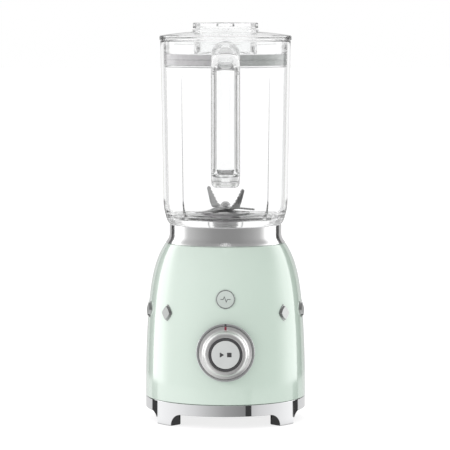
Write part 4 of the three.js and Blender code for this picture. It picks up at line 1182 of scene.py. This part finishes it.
@dataclass
class Lid:
    """The clear lid with its grey seal, and the clear filler cap."""

    flange: float = 65.9
    neck: float = 33.2
    bore: float = 29.0
    plug: float = 61.5

    def cover(self) -> bpy.types.Object:
        """The lid: a flanged, gently domed cover with a plug below and a tube for the cap."""
        rim, low, top = PLACE.rim, PLACE.lid_bottom, PLACE.lid_top
        edge = rim + GAP
        dome = bend((63.2, edge + 4.9), (47, edge + 7.6), (self.neck + 1.2, edge + 8.2), 18)
        corners = [
            (56.7, low, 0.6), (61.0, low, 0.5), (61.0, low + 2, 0.2), (58.9, low + 2, 0), (58.9, low + 13.6, 0),
            (self.plug, low + 13.6, 0.3), (self.plug, edge, 0.6), (self.flange, edge, 0.7),
            (self.flange, edge + 4.4, 1.5), *plain(dome), (self.neck, edge + 8.4, 0.4), (self.neck, top, 0.5),
            (self.bore, top, 0.5), (self.bore, top - 22.3, 0.6), (self.bore + 2.4, top - 22.3, 0.6),
            (self.bore + 2.4, edge + 5.2, 1.6), (56.7, edge + 2.4, 2.2),
        ]
        return lathe("lid_clear", corners, sides=FINE)

    def seal(self) -> bpy.types.Object:
        """The seal round the plug, with two rounded lips."""
        low, high = span("lid_gasket")
        middle = low + 0.46 * (high - low)
        corners = [
            (59.2, low, 0.2), (61.25, low, 0.9), (61.25, middle - 0.55, 0.8), (60.3, middle - 0.2, 0.3),
            (60.3, middle + 0.5, 0.3), (61.25, middle + 0.9, 0.8), (61.25, high, 0.9), (59.2, high, 0.2),
        ]
        return lathe("lid_seal", corners, sides=FINE)

    def cap(self) -> bpy.types.Object:
        """The filler cap: a hollow stopper under a flange with a dished top and two finger notches.

        A notch is a dent in the flange's edge: a bell of the angle from the front or the back,
        on the upper part of the flange only.
        """
        low, top = PLACE.cap_bottom, PLACE.cap_top
        body, flange = 28.5, 32.6
        seat = top - 6.5
        corners = [
            (0, top - 0.7, 0), (25.6, top - 0.7, 1.2), (27.4, top, 1.0), (flange, top, 1.5),
            *plain(np.linspace([flange, top - 2.2], [flange, seat + 2], 6)), (flange, seat + 1.2, 0.5),
            (flange - 1.8, seat + 1.1, 0.2), (flange - 1.8, seat, 0.2), (body, seat, 0.4), (body, low, 0.6),
            (body - 2.3, low, 0.6), (body - 2.3, top - 3.4, 1.6), (0, top - 3.4, 0),
        ]
        grid, joined = turn_outline(corners, 360)
        radius = radius_of(grid)
        dent = 1.8 * (1 - smooth_step(from_ends(grid), 4.5, 6.5)) * smooth_step(radius, 29, 31.5)
        dent = dent * smooth_step(grid[..., 2], top - 3.9, top - 3.2)
        return skin("filler_cap_clear", with_radius(grid, radius - dent), joined)

    def build(self, dresser: Dresser) -> None:
        """Makes and dresses the lid's pieces."""
        dresser.put(self.cover(), CLEAR, "lid_unit", "clear", "lid")
        dresser.put(self.seal(), SILICONE, "lid_unit", "silicone", "lid_gasket")
        dresser.put(self.cap(), CLEAR, "cap_unit", "clear", "filler_cap")


# ---------------------------------------------------------------- blade unit


@dataclass
class Blade:
    """One double-ended blade: a strip through the hub, bent at both sides, toothed on one edge."""

    name: str
    node: str
    bend_at: float
    length: float
    angle: float
    turn: float
    half_width: float = 6.2
    tip: float = 2.1
    thickness: float = 1.5
    hub: float = 8.0
    tooth: float = 1.9
    teeth: int = 6
    bend_length: float = 3.0

    def piece(self) -> bpy.types.Object:
        """The strip as a bar from tip to tip.

        Its middle line runs flat through the hub, turns up over a short round bend and goes on
        straight. Its width is the hub's circle in the middle, then a taper to a round tip. The
        toothed edge is a saw of the distance from the bend, and both edges are ground thin.
        """
        lowest, highest = span(self.node)
        low = lowest if self.angle > 0 else highest - self.thickness
        end = self.bend_at + self.length
        half = np.concatenate([np.linspace(0, self.bend_at - 1, 14), np.linspace(self.bend_at - 1, end, 110)[1:]])
        way = np.concatenate([-half[:0:-1], half])
        out = np.abs(way)
        slope = math.radians(self.angle)
        bent = np.clip((out - self.bend_at + self.bend_length / 2) / self.bend_length, 0, 1) * slope
        steps = np.diff(out, prepend=out[0])
        place, mid = np.arange(len(way)), len(half) - 1
        run = np.cumsum(np.where(place > mid, steps * np.cos(bent), 0))
        rise = np.cumsum(np.where(place > mid, steps * np.sin(bent), 0))
        run = np.where(place < mid, -run[::-1], run)
        rise = np.where(place < mid, rise[::-1], rise)
        past = np.clip((out - self.bend_at) / self.length, 0, 1)
        width = self.half_width + (self.tip - self.half_width) * past
        width = np.maximum(width, np.sqrt(np.maximum(self.hub**2 - way**2, 0)))
        round_end = np.clip((out - (end - self.tip)) / self.tip, 0, 0.985)
        width = width * np.sqrt(1 - round_end**2)
        saw = np.mod(past * self.teeth * 1.12, 1.0)
        cut = self.tooth * np.where(saw < 0.72, saw / 0.72, (1 - saw) / 0.28) * smooth_step(past, 0.06, 0.12)
        cut = cut * (1 - smooth_step(past, 0.86, 0.9))
        heading = np.sign(way) + (way == 0)
        left, right = width - np.where(heading < 0, cut, 0), np.where(heading > 0, cut, 0) - width
        across = np.stack([right, right * 0.8, left * 0.8, left, left * 0.8, right * 0.8], axis=1)
        levels = np.array([0.5, 1.0, 1.0, 0.5, 0.0, 0.0]) * self.thickness
        tilt = bent * heading
        run_grid = run[:, None] - np.sin(tilt)[:, None] * levels
        rise_grid = low + rise[:, None] + np.cos(tilt)[:, None] * levels
        grid = points(run_grid, across, rise_grid) @ turned(self.turn).T
        return skin(self.name, grid, Joined.TUBE, crease=25, cap=True)


@dataclass
class BladeUnit:
    """The blades on their shaft, and the holder, nut and couplings that carry them."""

    raised: Blade = field(default_factory=lambda: Blade("raised_blade", "upper_blade", 15.5, 25.0, 58.0, -52.0))
    flat: Blade = field(default_factory=lambda: Blade("flat_blade", "lower_blade", 11.0, 26.5, -7.0, 38.0))
    lobes: int = 6
    lobe: float = 1.8

    def dome_nut(self) -> bpy.types.Object:
        """The dome nut: a hexagon that is cut off round, under a dome."""
        low, high = span("dome_nut")
        dome = bend((3.8, low + 3.6), (3.6, high), (0.0, high), 12)
        corners = [(0, low, 0), (4.75, low, 0.3), (4.75, low + 2.9, 0.5), (3.9, low + 3.1, 0), *plain(dome)]
        grid, joined = turn_outline(corners, 144)
        radius = radius_of(grid)
        flat = 4.15 / np.cos(np.radians(np.mod(azimuth(grid) + 30, 60) - 30))
        limit = np.where(grid[..., 2] < low + 3.05, np.minimum(radius, flat), radius)
        return skin("dome_nut_steel", with_radius(grid, limit), joined, crease=30)

    def holder(self) -> bpy.types.Object:
        """The steel holder: a stepped flange on the jug's floor, a boss and a barrel below."""
        low, high = span("blade_holder")
        flange = low + 20.6
        return lathe(
            "blade_holder_steel",
            [
                (8.4, low, 0.4), (13.0, low, 0.6), (13.0, flange, 0.2), (25.0, flange, 0.3),
                (25.0, flange + 1.5, 0.8), (21.0, flange + 2.0, 0.8), (19.6, flange + 1.7, 0.5),
                (16.6, flange + 1.7, 0.5), (15.4, flange + 2.9, 0.8), (12.2, flange + 3.0, 0.8),
                (9.4, high - 0.9, 0.6), (8.2, high, 0.5), (4.5, high, 0.2), (4.5, flange - 1.3, 0),
                (8.4, flange - 1.3, 0),
            ],
        )

    def washer(self) -> bpy.types.Object:
        """The seal under the holder's flange."""
        low, high = span("holder_gasket")
        return lathe("holder_seal", [(14.0, low, 0.3), (24.4, low, 0.3), (24.4, high, 0.3), (14.0, high, 0.3)])

    def lobed(self, name: str, corners: list[Corner], lobe: float, inner: bool, limit: float) -> bpy.types.Object:
        """A turned piece whose upright faces below a radius swell into lobes.

        The radius gains lobe times the cosine of six times the angle, where inner says whether
        that holds for radii under the limit or over it.
        """
        grid, joined = turn_outline(corners, 240)
        radius = radius_of(grid)
        angle = np.arctan2(grid[..., 1], grid[..., 0])
        if inner:
            chosen = (1 - smooth_step(radius, limit + 0.5, limit + 1.5)) * smooth_step(radius, 6.0, 9.0)
        else:
            chosen = smooth_step(radius, limit - 1.5, limit - 0.5)
        return skin(name, with_radius(grid, radius + lobe * np.cos(self.lobes * angle) * chosen), joined)

    def dog(self) -> bpy.types.Object:
        """The motor's drive dog: a lobed post on a disc."""
        low, high = span("drive_coupling")
        corners = [
            (0, low, 0), (17.0, low, 0.5), (17.0, low + 4.4, 0.8), (15.0, low + 4.4, 0.2),
            (11.5, low + 4.6, 0.5), (11.5, high, 0.9), (0, high, 0),
        ]
        return self.lobed("drive_dog", corners, self.lobe, True, 13.0)

    def socket(self) -> bpy.types.Object:
        """The driven coupling under the jug, with a lobed socket."""
        low, high = span("driven_coupling")
        corners = [
            (12.0, low, 0.6), (17.0, low, 0.8), (17.0, high, 0.8), (4.3, high, 0.3), (4.3, high - 2.0, 0.2),
            (12.0, high - 2.0, 0.4),
        ]
        return self.lobed("driven_socket", corners, self.lobe, True, 13.6)

    def nut(self) -> bpy.types.Object:
        """The lobed nut that clamps the holder to the jug's floor."""
        low, high = span("holder_nut")
        corners = [(13.3, low, 0.5), (21.8, low, 1.0), (21.8, high, 0.8), (13.3, high, 0.4)]
        return self.lobed("holder_nut_grey", corners, 1.2, False, 20.0)

    def build(self, dresser: Dresser) -> None:
        """Makes and dresses the blade unit's pieces."""
        for blade in (self.raised, self.flat):
            dresser.put(blade.piece(), BLADE_STEEL, "blade_unit", "steel", blade.node)
        dresser.put(self.dome_nut(), HUB_STEEL, "blade_unit", "steel", "dome_nut")
        dresser.put(self.holder(), HUB_STEEL, "jug_unit", "steel", "blade_holder")
        dresser.put(self.washer(), SILICONE, "jug_unit", "silicone", "holder_gasket")
        dresser.put(self.nut(), GREY, "jug_unit", "grey", "holder_nut")
        dresser.put(self.socket(), BLACK, "blade_unit", "black", "driven_coupling")
        dresser.put(self.dog(), BLACK, "rotor", "black", "drive_coupling")
        dresser.carry(MACHINED, "blade_shaft")
        dresser.carry(BRASS, "shaft_bush")
        dresser.carry(RUBBER, "shaft_seal")


# ---------------------------------------------------------------- motor


def dress_motor(dresser: Dresser) -> None:
    """Dresses the motor and its board, which keep their solids inside the shell."""
    dresser.carry(SHEET_STACK, "motor_stator", "rotor_core")
    dresser.carry(COPPER, "field_coil_left", "field_coil_right", "commutator")
    dresser.carry(CAST, "upper_bracket", "lower_bracket")
    dresser.carry(MACHINED, "upper_bearing", "lower_bearing", "motor_shaft")
    dresser.carry(BRASS, "brush_holder_front", "brush_holder_rear")
    dresser.carry(BLACK, "cooling_fan", "selector_encoder")
    dresser.carry(BOARD, "control_board")


# ---------------------------------------------------------------- studio


@dataclass
class Studio:
    """The pale floor, the even sky, a key light, and a tent of panels that only gloss can see.

    The tent is a wide dish round the blender. Its glow is set by the angle from the front: dim
    ahead, bright panels at the sides, narrow dark flags behind them, and bright at the back.
    """

    tent_radius: float = 1.3
    tent_height: float = 1.5
    mirror_radius: float = 0.079
    roof_glow: float = 0.38
    far_stops: tuple[tuple[float, float], ...] = (
        (-180, 0.6), (-150, 0.6), (-148, 0.05), (-130, 0.05), (-129, 2.2), (-105, 2.1), (-93, 0.95), (-84, 0.62),
        (-52, 0.43), (-25, 0.32), (0, 0.29), (27, 0.3), (55, 0.4), (75, 0.53), (84, 0.85), (94, 1.5), (104, 2.1),
        (126, 2.2), (127, 0.05), (145, 0.05), (147, 0.6), (180, 0.6),
    )
    near_stops: tuple[tuple[float, float], ...] = (
        (-180, 0.75), (-133, 0.75), (-132, 0.05), (-116, 0.05), (-115, 1.05), (-106, 1.05), (-73, 0.93), (-46, 0.76),
        (-22, 0.55), (0, 0.37), (24, 0.28), (28.4, 0.27), (28.8, 0.05), (37.2, 0.05), (37.6, 0.62), (48, 0.72),
        (75, 0.87), (109, 1.05), (113, 1.05), (114, 0.05), (129, 0.05), (130, 0.75), (180, 0.75),
    )
    clear_stops: tuple[tuple[float, float], ...] = (
        (-180, 1.12), (-150, 1.12), (-146, 0.5), (-128, 0.5), (-124, 1.1), (-95, 1.0), (-65, 0.72), (0, 0.58),
        (65, 0.7), (95, 1.0), (124, 1.1), (128, 0.5), (146, 0.5), (150, 1.12), (180, 1.12),
    )

    def floor(self) -> None:
        """A wide plain floor."""
        half = 14.0
        mesh = bpy.data.meshes.new("floor")
        mesh.from_pydata([(-half, -half, 0), (half, -half, 0), (half, half, 0), (-half, half, 0)], [], [(0, 1, 2, 3)])
        piece = bpy.data.objects.new("floor", mesh)
        bpy.context.scene.collection.objects.link(piece)
        paint = Wiring("floor_paint")
        paint.set(base_color=(0.3, 0.3, 0.3), roughness=0.9, specular_ior_level=0.1)
        paint.set(emission_color=(1.0, 1.0, 1.0), emission_strength=0.82)
        mesh.materials.append(paint.material)

    def tent(self) -> None:
        """The dish of panels: a floor, a wall and a roof, with two levels of glow on its points.

        The first level is what gloss sees, and the second what is seen through clear plastic.
        """
        run = np.linspace(0, 1, 25)[1:]
        floor = np.linspace(0, 1, 161)[1:]
        wall = np.full(len(run), self.tent_radius)
        radii = np.concatenate([floor**1.6 * self.tent_radius, wall, (1 - run) * self.tent_radius])[:, None]
        roof = np.full(len(run), self.tent_height)
        heights = np.concatenate([0 * floor + 0.0004, run * self.tent_height, roof])[:, None]
        angle = np.linspace(-np.pi, np.pi, 1440, endpoint=False)
        levels = self.glow(np.degrees(angle)[None], radii, heights)
        piece = skin("light_tent", points(radii * np.sin(angle), -radii * np.cos(angle), heights) / MM, Joined.TUBE)
        attribute = piece.data.attributes.new("glow", "FLOAT_VECTOR", "POINT")
        attribute.data.foreach_set("vector", levels.reshape(-1)[: 3 * len(piece.data.vertices)].astype(np.float32))
        w = Wiring("tent_glow")
        level, choice, lamp = w.add("SeparateXYZ"), w.add("Mix"), w.add("Emission")
        w.link(w.add("Attribute", attribute_name="glow").outputs["Vector"], level.inputs[0])
        w.link(w.add("LightPath").outputs["Is Transmission Ray"], choice.inputs["Factor"])
        w.link(level.outputs["X"], choice.inputs["A"])
        w.link(level.outputs["Y"], choice.inputs["B"])
        w.link(choice.outputs["Result"], lamp.inputs["Strength"])
        w.link(lamp.outputs[0], w.tree.nodes["Material Output"].inputs["Surface"])
        piece.data.materials.append(w.material)
        piece.visible_camera = piece.visible_diffuse = piece.visible_shadow = False

    def glow(self, angle: Array, radius: Array, height: Array) -> Array:
        """Both levels of glow at an angle from the front, a radius and a height.

        The stops are given by the direction of a ray that the base mirrors. Such a ray starts
        at the base's own radius R, turned by half its direction d, so it lands at the angle
        d - asin(R sin(d / 2) / radius), which is solved for d by repeated steps. Higher up, the
        dim front widens, and the roof fades to its own glow.
        """
        start = self.mirror_radius / np.maximum(radius, 1.4 * self.mirror_radius)
        bearing = angle + 0 * radius
        for _ in range(12):
            bearing = angle + np.degrees(np.arcsin(start * np.sin(np.radians(bearing) / 2)))
        lift = smooth_step(height, 0.25, 1.3)
        far = np.interp(bearing * (1 - 0.25 * lift), *zip(*self.far_stops))
        near = np.interp(bearing, *zip(*self.near_stops)) * (0.06 + 0.94 * smooth_step(radius, 0.076, 0.086))
        level = smooth_step(radius, 0.34, 0.42) + 0 * angle
        roof = (height >= self.tent_height) * (1 - smooth_step(radius, 0.6, 1.3))
        gloss = (near * (1 - level) + far * level) * (1 - roof) + self.roof_glow * roof
        clear = np.interp(bearing, *zip(*self.clear_stops)) * (1 - roof) + 1.0 * roof
        return points(gloss, clear, 0.0)

    def sky(self) -> None:
        """An even pale sky."""
        world = bpy.data.worlds.new("sky")
        world.use_nodes = True
        world.node_tree.nodes["Background"].inputs["Color"].default_value = (1, 1, 1, 1)
        world.node_tree.nodes["Background"].inputs["Strength"].default_value = 1.0
        bpy.context.scene.world = world

    def lamp(
        self,
        name: str,
        place: tuple[float, float, float],
        size: float,
        power: float,
        colour: tuple[float, float, float] = (1.0, 1.0, 1.0),
    ) -> None:
        """A square area light aimed at the blender, left out of gloss and glass."""
        data = bpy.data.lights.new(name, "AREA")
        data.size = size
        data.energy = power
        data.color = colour
        light = bpy.data.objects.new(name, data)
        light.location = place
        light.rotation_euler = (Vector((0, 0, 0.15)) - light.location).to_track_quat("-Z", "Y").to_euler()
        light.visible_glossy = False
        light.visible_transmission = False
        bpy.context.scene.collection.objects.link(light)

    def camera(self) -> None:
        """A long lens in front, a little above the lid, looking slightly down."""
        distance, height, aim = 2.75, 0.4207, 0.1948
        data = bpy.data.cameras.new("camera")
        data.sensor_width = 36
        data.lens = 220
        camera = bpy.data.objects.new("camera", data)
        axis_y = PLACE.axis_y * MM
        camera.location = (-0.0005, axis_y - distance, height)
        camera.rotation_euler = (math.pi / 2 - math.atan((height - aim) / distance), 0, 0)
        bpy.context.scene.collection.objects.link(camera)
        bpy.context.scene.camera = camera

    def build(self) -> None:
        """Sets the stage."""
        self.floor()
        self.tent()
        self.sky()
        self.lamp("key", (-2.4, -1.4, 1.3), 1.2, 32, (1.0, 0.84, 0.95))
        self.lamp("fill", (2.2, -1.2, 1.4), 1.4, 3)
        self.camera()
        bpy.context.scene.view_settings.view_transform = "Standard"
        cycles = bpy.context.scene.cycles
        cycles.max_bounces, cycles.glossy_bounces, cycles.transmission_bounces = 28, 16, 28


# ---------------------------------------------------------------- assembly


def main() -> None:
    """Builds the studio and the blender, part by part."""
    logging.basicConfig(level=logging.INFO, format="%(message)s")
    Studio().build()
    dresser = Dresser()
    casing = Casing()
    casing.build(dresser)
    Controls(casing).build(dresser)
    Jug().build(dresser)
    Lid().build(dresser)
    BladeUnit().build(dresser)
    dress_motor(dresser)


if __name__ == "__main__":
    main()
